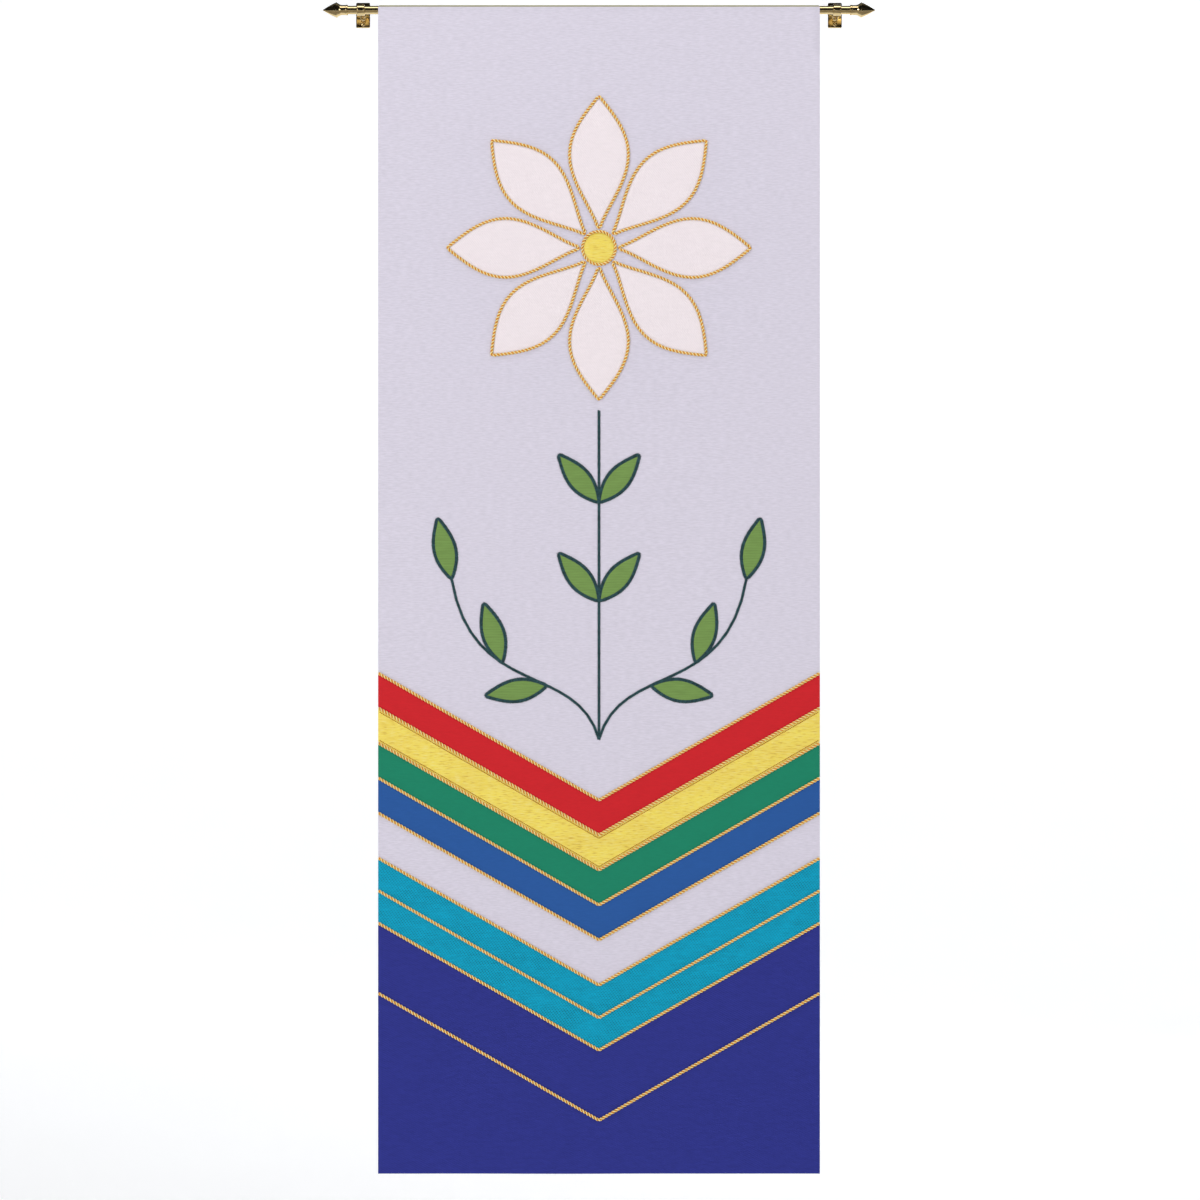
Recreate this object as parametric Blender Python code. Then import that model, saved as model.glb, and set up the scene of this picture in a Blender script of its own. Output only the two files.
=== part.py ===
"""Appliqué banner on a brass rod, held by two wall brackets.

Metres, +Z up. The wall is the plane Y = 0 and the banner's front faces -Y. The origin lies on the wall,
midway between the brackets, at the height of the rod's axis.
"""

import math

import bmesh
import bpy
from mathutils import Vector
from mathutils.geometry import interpolate_bezier

# Gap between two pieces that touch
SEAT = 0.0003

# Rod, and where it runs in front of the wall
ROD_DIAMETER = 0.0115
ROD_TO_WALL = 0.035
ROD_IN_VIEW = 0.684

# Spear finial, from its socket outwards
SOCKET_DEPTH = 0.007
RIM_DIAMETER = 0.0144
RIM_LENGTH = 0.002
COLLAR_DIAMETER = 0.0136
COLLAR_LENGTH = 0.006
FLARE_LENGTH = 0.007
HEAD_DIAMETER = 0.021
POINT_LENGTH = 0.019
POINT_DIAMETER = 0.0012
POINT_SWELL = 0.0006

# Wall bracket
BRACKET_SPACING = 0.648
PLATE_WIDTH = 0.019
PLATE_HEIGHT = 0.0345
PLATE_THICKNESS = 0.0022
PLATE_CORNER = 0.0016
PLATE_CHAMFER = 0.0007
RING_DIAMETER = 0.0152
RING_WIDTH = 0.0105
RING_ROUNDING = 0.0012
POST_DIAMETER = 0.0075
POST_FOOT_DIAMETER = 0.0125
POST_FOOT_LENGTH = 0.0022
SCREW_OFFSET = 0.0125
SCREW_HOLE_DIAMETER = 0.0042
SCREW_HEAD_DIAMETER = 0.0058
SCREW_HEAD_HEIGHT = 0.0016
SET_SCREW_NECK_DIAMETER = 0.0034
SET_SCREW_NECK_LENGTH = 0.0016
SET_SCREW_HEAD_DIAMETER = 0.007
SET_SCREW_HEAD_LENGTH = 0.004
SET_SCREW_FROM_WALL = 0.009

# Ground cloth and the sleeve behind it
PANEL_WIDTH = 0.600
PANEL_TOP = 0.003
PANEL_DROP = 1.585
PANEL_THICKNESS = 0.0016
HEM_WIDTH = 0.020
HEM_THICKNESS = 0.0008
SLEEVE_THICKNESS = 0.0010
SLEEVE_DROP = 0.040
SLEEVE_WIDTH = 0.598

# Sewn-on cloth and couched cord
APPLIQUE_THICKNESS = 0.0010
CORD_WIDTH = 0.0045
CORD_HEIGHT = 0.0029
SATIN_WIDTH = 0.0040
SATIN_THICKNESS = 0.0014
SATIN_STEP = 0.0001

# Rosette
ROSETTE_Z = -0.325
PETALS = 8
PETAL_LENGTH = 0.172
PETAL_WIDTH = 0.075
PETAL_FULLEST = 0.56
PETAL_START = 0.0305
CENTRE_RADIUS = 0.020

# Stem with two branches. Each branch is one curve, given for the right side.
STEM_TOP_Z = -0.546
STEM_FOOT_Z = -0.992
BRANCH_POINTS = ((0.0, -0.992), (0.030, -0.885), (0.172, -0.940), (0.200, -0.775))
LEAF_LENGTH = 0.078
LEAF_WIDTH = 0.025
LEAF_FULLEST = 0.47

# Leaves of the right half: what carries it, how far along, degrees turned from its run, clockwise.
# The left half is the mirror image.
LEAF_TABLE = (
    ("stem", 0.42, 40),
    ("stem", 0.72, 40),
    ("branch", 0.38, 34),
    ("branch", 0.62, -42),
    ("branch", 1.00, 0),
)

# Pointed bands: every boundary is a V from edge to edge. Depth is that of the V's point, under the rod.
V_SLOPE = math.radians(29.9)
BANDS = (
    # name, depth of its upper edge, depth of its lower edge
    ("band_red", 1.0745, 1.1220),
    ("band_gold", 1.1220, 1.1695),
    ("band_green", 1.1695, 1.2170),
    ("band_blue", 1.2170, 1.2645),
    ("chevron_teal", 1.3257, 1.4140),
)
FIELD_DEPTH = 1.4140
V_CORDS = (
    # name, depth of its point, lies on a sewn-on piece
    ("cord_above_red", 1.0745, False),
    ("cord_above_gold", 1.1220, False),
    ("cord_above_green", 1.1695, False),
    ("cord_above_blue", 1.2170, False),
    ("cord_below_blue", 1.2645, False),
    ("cord_above_teal", 1.3257, False),
    ("cord_on_teal", 1.3698, True),
    ("cord_above_royal", 1.4140, False),
    ("cord_on_royal", 1.5090, True),
)

# Steps round the curved shapes
TURNED_STEPS = 24
PETAL_STEPS = 12
LEAF_STEPS = 8
CORD_STEPS = 5
BRANCH_STEPS = 16
RING_CORD_STEPS = 24
SLEEVE_STEPS = 16
CORNER_STEPS = 4
SHARP_CORNER = math.radians(35)

ROD_RADIUS = ROD_DIAMETER / 2
SLEEVE_RADIUS = ROD_RADIUS + SEAT + SLEEVE_THICKNESS
PANEL_BACK_Y = -(ROD_TO_WALL + SLEEVE_RADIUS + SEAT)
PANEL_FACE_Y = PANEL_BACK_Y - PANEL_THICKNESS
PANEL_FOOT = PANEL_TOP - PANEL_DROP
APPLIQUE_FRONT = -SEAT - APPLIQUE_THICKNESS


def clear_scene():
    for obj in list(bpy.data.objects):
        bpy.data.objects.remove(obj)


def finish(name, colour, roughness, metallic=0.0):
    """A Principled material; the colour is linear red, green, blue."""
    material = bpy.data.materials.new(name)
    material.use_nodes = True
    shader = material.node_tree.nodes["Principled BSDF"]
    shader.inputs["Base Color"].default_value = (*colour, 1.0)
    shader.inputs["Roughness"].default_value = roughness
    shader.inputs["Metallic"].default_value = metallic
    material.diffuse_color = (*colour, 1.0)
    return material


def add_empty(name, place):
    empty = bpy.data.objects.new(name, None)
    empty.location = place
    bpy.context.scene.collection.objects.link(empty)
    return empty


def add_mesh(name, shape, smooth_angle=None):
    """Turns a bmesh into a mesh with its faces pointing out."""
    bmesh.ops.recalc_face_normals(shape, faces=shape.faces)
    mesh = bpy.data.meshes.new(name)
    shape.to_mesh(mesh)
    shape.free()
    if smooth_angle is not None:
        mesh.shade_smooth()
        mesh.set_sharp_from_angle(angle=math.radians(smooth_angle))
    return mesh


def add_piece(name, mesh, material, parent, place=(0, 0, 0), turn=(0, 0, 0)):
    obj = bpy.data.objects.new(name, mesh)
    if not mesh.materials:
        mesh.materials.append(material)
    obj.parent = parent
    obj.location = place
    obj.rotation_euler = turn
    bpy.context.scene.collection.objects.link(obj)
    return obj


def add_helper(name, mesh, parent, place=(0, 0, 0), turn=(0, 0, 0)):
    """A shape that only joins or cuts another piece."""
    obj = bpy.data.objects.new(name, mesh)
    obj.parent = parent
    obj.location = place
    obj.rotation_euler = turn
    obj.hide_render = True
    obj.display_type = "WIRE"
    bpy.context.scene.collection.objects.link(obj)
    return obj


def combine(obj, operation, helper):
    modifier = obj.modifiers.new(helper.name, "BOOLEAN")
    modifier.operation = operation
    modifier.solver = "EXACT"
    modifier.object = helper


def plate_shape(outline, back, front):
    """A flat piece: the outline of (x, z) points, from Y = back to Y = front."""
    shape = bmesh.new()
    near = [shape.verts.new((x, front, z)) for x, z in outline]
    far = [shape.verts.new((x, back, z)) for x, z in outline]
    shape.faces.new(near)
    shape.faces.new(list(reversed(far)))
    for index in range(len(outline)):
        after = (index + 1) % len(outline)
        shape.faces.new((near[index], near[after], far[after], far[index]))
    return shape


def turned_shape(profile, steps=TURNED_STEPS):
    """A body turned about Z from (radius, height) points that start and end on the axis."""
    shape = bmesh.new()
    rings = []
    for radius, height in profile:
        if radius == 0:
            rings.append([shape.verts.new((0, 0, height))])
            continue
        turns = [math.tau * step / steps for step in range(steps)]
        rings.append([
            shape.verts.new((radius * math.cos(a), radius * math.sin(a), height)) for a in turns
        ])
    for lower, upper in zip(rings, rings[1:]):
        for step in range(steps):
            corners = [
                lower[step % len(lower)],
                lower[(step + 1) % len(lower)],
                upper[(step + 1) % len(upper)],
                upper[step % len(upper)],
            ]
            shape.faces.new(list(dict.fromkeys(corners)))
    return shape


def ring_sweep(rings, closed):
    """Skins a row of equal loops of points; a row that isn't closed gets a cap at each end."""
    shape = bmesh.new()
    loops = [[shape.verts.new(point) for point in ring] for ring in rings]
    pairs = list(zip(loops, loops[1:]))
    if closed:
        pairs.append((loops[-1], loops[0]))
    else:
        shape.faces.new(list(reversed(loops[0])))
        shape.faces.new(loops[-1])
    for first, second in pairs:
        for index in range(len(first)):
            after = (index + 1) % len(first)
            shape.faces.new((first[index], first[after], second[after], second[index]))
    return shape


def offset_outline(outline, distance, round_corners=True):
    """A closed outline moved outwards. It runs anticlockwise seen from the front, and turns round its
    sharp corners in an arc, with the same number of points at every distance."""
    points = [Vector(point) for point in outline]
    moved = []
    for index, point in enumerate(points):
        before = (point - points[index - 1]).normalized()
        after = (points[(index + 1) % len(points)] - point).normalized()
        out_before = Vector((before.y, -before.x))
        out_after = Vector((after.y, -after.x))
        if not round_corners or out_before.dot(out_after) > math.cos(SHARP_CORNER):
            mitre = (out_before + out_after) / (1 + out_before.dot(out_after))
            moved.append(point + mitre * distance)
            continue
        start = math.atan2(out_before.y, out_before.x)
        turn = out_before.angle_signed(out_after)
        for step in range(CORNER_STEPS + 1):
            angle = start - turn * step / CORNER_STEPS
            moved.append(point + Vector((math.cos(angle), math.sin(angle))) * distance)
    return moved


def pointed_oval(length, width, fullest, steps):
    """A petal or leaf that points along +Z from its base at the origin, widest at a share of its length."""
    power = math.log(0.5) / math.log(fullest)
    shares = [step / steps for step in range(steps + 1)]
    right = [
        (width / 2 * math.sin(math.pi * share**power), length * share) for share in shares
    ]
    right[-1] = (0.0, length)
    left = [(-x, z) for x, z in reversed(right[1:-1])]
    return right + left


def round_outline(radius, steps):
    turns = [math.tau * step / steps for step in range(steps)]
    return [(radius * math.cos(a), radius * math.sin(a)) for a in turns]


def cord_section():
    """Half-round section of the couched cord: (sideways, height) points over its flat back."""
    turns = [math.pi * step / CORD_STEPS for step in range(CORD_STEPS + 1)]
    return [(CORD_WIDTH / 2 * math.cos(a), CORD_HEIGHT * math.sin(a)) for a in turns]


def loop_cord_shape(outline):
    """A cord couched round the edge of a piece, one seat away from it."""
    sides = []
    for sideways, height in cord_section():
        path = offset_outline(outline, SEAT + CORD_WIDTH / 2 + sideways)
        sides.append([(point.x, -SEAT - height, point.y) for point in path])
    return ring_sweep([list(ring) for ring in zip(*sides)], closed=True)


def v_line(depth):
    """The three points of a V-shaped boundary, from the left edge to the right one."""
    rise = PANEL_WIDTH / 2 * math.tan(V_SLOPE)
    half = PANEL_WIDTH / 2
    return [(-half, rise - depth), (0.0, -depth), (half, rise - depth)]


def v_cord_shape(depth, back):
    """A cord couched along a V from edge to edge, cut off upright at the cloth's edges."""
    rings = []
    for x, z in v_line(depth):
        rings.append([
            (x, back - height, z + sideways / math.cos(V_SLOPE))
            for sideways, height in cord_section()
        ])
    return ring_sweep(rings, closed=False)


def band_outline(upper, lower):
    """The cloth between two V-shaped cords, clear of both."""
    inset = (CORD_WIDTH / 2 + SEAT) / math.cos(V_SLOPE)
    top = v_line(upper + inset)
    foot = v_line(lower - inset)
    return foot + list(reversed(top))


def ribbon_outline(path, width):
    """The outline of a strip that follows a path of (x, z) points."""
    points = [Vector(point) for point in path]
    sides = ([], [])
    for index, point in enumerate(points):
        ahead = points[min(index + 1, len(points) - 1)] - points[max(index - 1, 0)]
        across = Vector((ahead.y, -ahead.x)).normalized() * width / 2
        sides[0].append(tuple(point + across))
        sides[1].append(tuple(point - across))
    return sides[0] + list(reversed(sides[1]))


def branch_path():
    knots = [Vector((x, z, 0)) for x, z in BRANCH_POINTS]
    curve = interpolate_bezier(*knots, BRANCH_STEPS + 1)
    return [(point.x, point.y) for point in curve]


def place_on(path, share):
    """The point at a share of a path's points, and its heading in radians, clockwise from straight up."""
    spot = share * (len(path) - 1)
    index = min(int(spot), len(path) - 2)
    start = Vector(path[index])
    step = Vector(path[index + 1]) - start
    return start + step * (spot - index), math.atan2(step.x, step.y)


def leaf_places():
    """Where each leaf's base lies and where it points, for both halves."""
    paths = {
        "stem": [(0.0, STEM_FOOT_Z), (0.0, STEM_TOP_Z)],
        "branch": branch_path(),
    }
    places = []
    for side in (1, -1):
        for carrier, share, turn in LEAF_TABLE:
            point, heading = place_on(paths[carrier], share)
            heading += math.radians(turn)
            base = point + Vector((math.sin(heading), math.cos(heading))) * SATIN_WIDTH
            places.append((side * base.x, base.y, side * heading))
    return places


def make_ground_panel(material):
    half = PANEL_WIDTH / 2
    sheet = [(-half, PANEL_FOOT), (half, PANEL_FOOT), (half, PANEL_TOP), (-half, PANEL_TOP)]
    shape = plate_shape(sheet, PANEL_BACK_Y, PANEL_FACE_Y)
    panel = add_piece("ground_panel", add_mesh("ground_panel", shape), material, None)
    inner = half - HEM_WIDTH
    hem_top = -SLEEVE_DROP - HEM_WIDTH
    hem = [
        (-half, PANEL_FOOT),
        (half, PANEL_FOOT),
        (half, hem_top),
        (inner, hem_top),
        (inner, PANEL_FOOT + HEM_WIDTH),
        (-inner, PANEL_FOOT + HEM_WIDTH),
        (-inner, hem_top),
        (-half, hem_top),
    ]
    middle = (PANEL_BACK_Y + PANEL_FACE_Y) / 2
    folded = plate_shape(hem, PANEL_BACK_Y + HEM_THICKNESS, middle)
    combine(panel, "UNION", add_helper("hem_fold", add_mesh("hem_fold", folded), None))


def sleeve_middle_line():
    """The sleeve's section through the middle of its cloth: (y, z) points from the seam over the rod."""
    radius = SLEEVE_RADIUS - SLEEVE_THICKNESS / 2
    seam = Vector((-radius, -SLEEVE_DROP))
    leaves_rod = math.atan2(seam.y, seam.x) + math.acos(radius / seam.length)
    line = [tuple(seam)]
    for step in range(SLEEVE_STEPS + 1):
        angle = math.pi + (leaves_rod - math.pi) * step / SLEEVE_STEPS
        line.append((radius * math.cos(angle), radius * math.sin(angle)))
    return line


def make_rod_sleeve(material, rod_line):
    line = list(reversed(sleeve_middle_line()))
    walls = [
        offset_outline(line, side * SLEEVE_THICKNESS / 2, round_corners=False) for side in (1, -1)
    ]
    shape = bmesh.new()
    ends = []
    for x in (-SLEEVE_WIDTH / 2, SLEEVE_WIDTH / 2):
        ends.append([[shape.verts.new((x, point.x, point.y)) for point in wall] for wall in walls])
    for index in range(len(line)):
        after = (index + 1) % len(line)
        for left, right in ((ends[0][0], ends[1][0]), (ends[0][1], ends[1][1])):
            shape.faces.new((left[index], left[after], right[after], right[index]))
        for outer, inner in ends:
            shape.faces.new((outer[index], outer[after], inner[after], inner[index]))
    add_piece("rod_sleeve", add_mesh("rod_sleeve", shape, 40), material, rod_line)


def make_rod(material, rod_line):
    half = ROD_IN_VIEW / 2 + SOCKET_DEPTH - SEAT
    profile = [(0, -half), (ROD_RADIUS, -half), (ROD_RADIUS, half), (0, half)]
    mesh = add_mesh("rod", turned_shape(profile), 40)
    add_piece("rod", mesh, material, rod_line, turn=(0, math.radians(90), 0))


def finial_profile():
    """(radius, distance outwards) points from the bottom of the socket round to the tip."""
    bore = ROD_RADIUS + SEAT
    rim = RIM_DIAMETER / 2
    collar = COLLAR_DIAMETER / 2
    head = HEAD_DIAMETER / 2
    collar_end = RIM_LENGTH + COLLAR_LENGTH
    head_end = collar_end + FLARE_LENGTH
    profile = [(0, SOCKET_DEPTH), (bore, SOCKET_DEPTH), (bore, 0), (rim, 0), (rim, RIM_LENGTH)]
    profile += [(collar, RIM_LENGTH), (collar, collar_end)]
    steps = 5
    for step in range(1, steps + 1):
        share = step / steps
        profile.append((collar + (head - collar) * share**1.5, collar_end + FLARE_LENGTH * share))
    for step in range(1, steps + 1):
        share = step / steps
        cone = head + (POINT_DIAMETER / 2 - head) * share
        swell = POINT_SWELL * math.sin(math.pi * share)
        profile.append((cone + swell, head_end + (POINT_LENGTH - POINT_DIAMETER / 2) * share))
    profile.append((0, head_end + POINT_LENGTH))
    return profile


def make_finials(material, rod_line):
    mesh = add_mesh("finial", turned_shape(finial_profile()), 35)
    for name, side in (("finial_left", -1), ("finial_right", 1)):
        place = (side * ROD_IN_VIEW / 2, 0, 0)
        add_piece(name, mesh, material, rod_line, place, (0, side * math.radians(90), 0))


def rounded_rectangle(width, height, corner, steps=4):
    outline = []
    for turn in range(4):
        angle = math.radians(90 * turn)
        centre_x = (width / 2 - corner) * (1 if turn in (0, 3) else -1)
        centre_z = (height / 2 - corner) * (1 if turn in (0, 1) else -1)
        for step in range(steps + 1):
            at = angle + math.radians(90) * step / steps
            outline.append((centre_x + corner * math.cos(at), centre_z + corner * math.sin(at)))
    return outline


def plate_mesh():
    """The wall plate with a chamfered front edge, its back on the wall."""
    outline = rounded_rectangle(PLATE_WIDTH, PLATE_HEIGHT, PLATE_CORNER)
    inner = offset_outline(outline, -PLATE_CHAMFER)
    shoulder = PLATE_THICKNESS - PLATE_CHAMFER
    rings = [
        [(x, 0, z) for x, z in outline],
        [(x, -shoulder, z) for x, z in outline],
        [(point.x, -PLATE_THICKNESS, point.y) for point in inner],
    ]
    return add_mesh("bracket_plate", ring_sweep(rings, closed=False), 30)


def ring_mesh():
    """The ring round the rod with rounded rims, turned about Z and solid until it is bored."""
    outer = RING_DIAMETER / 2
    half = RING_WIDTH / 2
    steps = 3
    rim = []
    for step in range(steps + 1):
        turn = math.radians(90) * step / steps
        radius = outer - RING_ROUNDING * (1 - math.sin(turn))
        rim.append((radius, -half + RING_ROUNDING * (1 - math.cos(turn))))
    other_rim = [(radius, -height) for radius, height in reversed(rim)]
    profile = [(0, -half)] + rim + other_rim + [(0, half)]
    return add_mesh("bracket_arm", turned_shape(profile), 40)


def post_mesh():
    """The post from the plate into the ring, with a spread foot, turned about Z and pointing along it."""
    reach = ROD_TO_WALL - PLATE_THICKNESS - SEAT
    foot = POST_FOOT_DIAMETER / 2
    neck = POST_DIAMETER / 2
    profile = [(0, 0), (foot, 0), (foot, POST_FOOT_LENGTH / 2)]
    steps = 5
    for step in range(1, steps + 1):
        turn = math.radians(90) * step / steps
        radius = foot - (foot - neck) * math.sin(turn)
        profile.append((radius, POST_FOOT_LENGTH * (1.5 - math.cos(turn))))
    profile += [(neck, reach), (0, reach)]
    return add_mesh("post", turned_shape(profile), 40)


def wall_screw_mesh():
    """A domed screw, pointing its head along +Z, from the plate's back to the top of its head."""
    shank = SCREW_HOLE_DIAMETER / 2 - SEAT
    head = SCREW_HEAD_DIAMETER / 2
    under_head = PLATE_THICKNESS + SEAT
    profile = [(0, SEAT), (shank, SEAT), (shank, under_head), (head, under_head)]
    steps = 4
    for step in range(1, steps):
        turn = math.radians(90) * step / steps
        profile.append((head * math.cos(turn), under_head + SCREW_HEAD_HEIGHT * math.sin(turn)))
    profile.append((0, under_head + SCREW_HEAD_HEIGHT))
    return add_mesh("wall_screw", turned_shape(profile, 20), 35)


def set_screw_mesh():
    """The thumb screw under the post, pointing down, turned about Z with its top at the origin."""
    neck = SET_SCREW_NECK_DIAMETER / 2
    head = SET_SCREW_HEAD_DIAMETER / 2
    profile = [(0, 0), (neck, 0), (neck, -SET_SCREW_NECK_LENGTH)]
    steps = 8
    for step in range(1, steps):
        turn = math.pi * step / steps
        middle = -SET_SCREW_NECK_LENGTH - SET_SCREW_HEAD_LENGTH / 2
        radius = head * math.sin(turn) ** 0.6
        profile.append((radius, middle + SET_SCREW_HEAD_LENGTH / 2 * math.cos(turn)))
    profile.append((0, -SET_SCREW_NECK_LENGTH - SET_SCREW_HEAD_LENGTH))
    return add_mesh("set_screw", turned_shape(profile, 20), 35)


def make_brackets(material):
    facing = (math.radians(90), 0, 0)
    along_rod = (0, math.radians(90), 0)
    bore_radius = ROD_RADIUS + SEAT
    bore_profile = [(0, -RING_WIDTH), (bore_radius, -RING_WIDTH)]
    bore_profile += [(bore_radius, RING_WIDTH), (0, RING_WIDTH)]
    hole = SCREW_HOLE_DIAMETER / 2
    hole_profile = [(0, -PLATE_THICKNESS), (hole, -PLATE_THICKNESS)]
    hole_profile += [(hole, 2 * PLATE_THICKNESS), (0, 2 * PLATE_THICKNESS)]
    meshes = {
        "plate": plate_mesh(),
        "ring": ring_mesh(),
        "post": post_mesh(),
        "bore": add_mesh("ring_bore", turned_shape(bore_profile)),
        "hole": add_mesh("screw_hole", turned_shape(hole_profile, 20)),
        "wall_screw": wall_screw_mesh(),
        "set_screw": set_screw_mesh(),
    }
    post_start = (0, -PLATE_THICKNESS - SEAT, 0)
    on_rod = (0, -ROD_TO_WALL, 0)
    under_post = (0, -SET_SCREW_FROM_WALL, -POST_DIAMETER / 2 - SEAT)
    for side, sign in (("left", -1), ("right", 1)):
        wall_spot = add_empty(f"wall_spot_{side}", (sign * BRACKET_SPACING / 2, 0, 0))
        plate = add_piece(f"bracket_plate_{side}", meshes["plate"], material, wall_spot)
        arm = add_piece(f"bracket_arm_{side}", meshes["ring"], material, wall_spot, on_rod, along_rod)
        post = add_helper(f"post_{side}", meshes["post"], wall_spot, post_start, facing)
        combine(arm, "UNION", post)
        bore = add_helper(f"bore_{side}", meshes["bore"], wall_spot, on_rod, along_rod)
        combine(arm, "DIFFERENCE", bore)
        add_piece(f"set_screw_{side}", meshes["set_screw"], material, wall_spot, under_post)
        for row, height in (("upper", SCREW_OFFSET), ("lower", -SCREW_OFFSET)):
            spot = (0, 0, height)
            helper = add_helper(f"{row}_hole_{side}", meshes["hole"], wall_spot, spot, facing)
            combine(plate, "DIFFERENCE", helper)
            add_piece(f"{row}_screw_{side}", meshes["wall_screw"], material, wall_spot, spot, facing)


def make_rosette(finishes, face):
    petal = pointed_oval(PETAL_LENGTH, PETAL_WIDTH, PETAL_FULLEST, PETAL_STEPS)
    petal = [(x, z + PETAL_START) for x, z in petal]
    cloth = add_mesh("petal", plate_shape(petal, -SEAT, APPLIQUE_FRONT))
    cord = add_mesh("petal_cord", loop_cord_shape(petal), 60)
    middle = (0, 0, ROSETTE_Z)
    for index in range(PETALS):
        turn = (0, math.tau * index / PETALS, 0)
        add_piece(f"petal_{index + 1}", cloth, finishes["white"], face, middle, turn)
        add_piece(f"petal_cord_{index + 1}", cord, finishes["cord"], face, middle, turn)
    disc = round_outline(CENTRE_RADIUS, RING_CORD_STEPS)
    centre = add_mesh("rosette_centre", plate_shape(disc, -SEAT, APPLIQUE_FRONT))
    add_piece("rosette_centre", centre, finishes["gold"], face, middle)
    ring = add_mesh("centre_cord", loop_cord_shape(disc), 60)
    add_piece("centre_cord", ring, finishes["cord"], face, middle)


def satin_mesh(name, outline, layer):
    """Satin stitch over an outline. Each layer lies a little further out, as stitches do over others."""
    back = -SEAT - layer * SATIN_STEP
    return add_mesh(name, plate_shape(outline, back, back - SATIN_THICKNESS))


def make_leaves(finishes, face):
    """The leaves, and the satin stitch round them that the stem and branches join into one piece."""
    leaf = pointed_oval(LEAF_LENGTH, LEAF_WIDTH, LEAF_FULLEST, LEAF_STEPS)
    cloth = add_mesh("leaf", plate_shape(leaf, -SEAT, APPLIQUE_FRONT))
    edge = satin_mesh("leaf_edge", offset_outline(leaf, SEAT + SATIN_WIDTH), 1)
    window = plate_shape(offset_outline(leaf, SEAT), SATIN_THICKNESS, -3 * SATIN_THICKNESS)
    window = add_mesh("leaf_window", window)
    stem_path = [(0.0, STEM_FOOT_Z), (0.0, STEM_TOP_Z)]
    stem = satin_mesh("stem_outline", ribbon_outline(stem_path, SATIN_WIDTH), 0)
    outline = add_piece("stem_outline", stem, finishes["satin"], face)
    for side, sign in (("left", -1), ("right", 1)):
        path = [(sign * x, z) for x, z in branch_path()]
        branch = satin_mesh("branch", ribbon_outline(path, SATIN_WIDTH), 2)
        combine(outline, "UNION", add_helper(f"branch_{side}", branch, face))
    places = leaf_places()
    for index, (x, z, heading) in enumerate(places, 1):
        place, turn = (x, 0, z), (0, heading, 0)
        add_piece(f"leaf_{index}", cloth, finishes["leaf"], face, place, turn)
        combine(outline, "UNION", add_helper(f"leaf_edge_{index}", edge, face, place, turn))
    for index, (x, z, heading) in enumerate(places, 1):
        helper = add_helper(f"leaf_window_{index}", window, face, (x, 0, z), (0, heading, 0))
        combine(outline, "DIFFERENCE", helper)


def make_bands(finishes, face):
    for name, upper, lower in BANDS:
        shape = plate_shape(band_outline(upper, lower), -SEAT, APPLIQUE_FRONT)
        colour = name.split("_")[1]
        add_piece(name, add_mesh(name, shape), finishes[colour], face)
    half = PANEL_WIDTH / 2
    inset = (CORD_WIDTH / 2 + SEAT) / math.cos(V_SLOPE)
    outline = [(-half, PANEL_FOOT), (half, PANEL_FOOT)]
    outline += reversed(v_line(FIELD_DEPTH + inset))
    field = add_mesh("field_royal", plate_shape(outline, -SEAT, APPLIQUE_FRONT))
    add_piece("field_royal", field, finishes["royal"], face)
    for name, depth, on_cloth in V_CORDS:
        back = APPLIQUE_FRONT - SEAT if on_cloth else -SEAT
        mesh = add_mesh(name, v_cord_shape(depth, back), 60)
        add_piece(name, mesh, finishes["cord"], face)


def main():
    clear_scene()
    finishes = {
        "brass": finish("polished brass", (0.66, 0.47, 0.17), 0.12, 1.0),
        "ground": finish("lavender slub cloth", (0.68, 0.64, 0.75), 0.75),
        "sleeve": finish("khaki lining cloth", (0.35, 0.33, 0.15), 0.8),
        "white": finish("white twill", (0.87, 0.78, 0.79), 0.7),
        "gold": finish("gold lame", (0.94, 0.68, 0.17), 0.4, 0.3),
        "cord": finish("gold couching cord", (0.84, 0.50, 0.06), 0.35, 0.4),
        "leaf": finish("leaf green cloth", (0.18, 0.31, 0.08), 0.7),
        "satin": finish("dark green satin stitch", (0.03, 0.08, 0.09), 0.5),
        "red": finish("red cloth", (0.60, 0.02, 0.03), 0.65),
        "green": finish("green cloth", (0.01, 0.23, 0.13), 0.65),
        "blue": finish("blue cloth", (0.02, 0.10, 0.32), 0.65),
        "teal": finish("teal figured cloth", (0.0, 0.29, 0.44), 0.55),
        "royal": finish("royal blue ribbed cloth", (0.03, 0.04, 0.25), 0.6),
    }
    rod_line = add_empty("rod_line", (0, -ROD_TO_WALL, 0))
    face = add_empty("cloth_face", (0, PANEL_FACE_Y, 0))
    make_ground_panel(finishes["ground"])
    make_rod_sleeve(finishes["sleeve"], rod_line)
    make_rod(finishes["brass"], rod_line)
    make_finials(finishes["brass"], rod_line)
    make_brackets(finishes["brass"])
    make_rosette(finishes, face)
    make_leaves(finishes, face)
    make_bands(finishes, face)


main()
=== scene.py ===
"""Looks of the appliqué banner on its brass rod: woven cloth, couched cord, satin stitch and polished brass.

Metres, +Z up. The wall is the plane Y = 0 and the banner's front faces -Y.
"""

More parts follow.
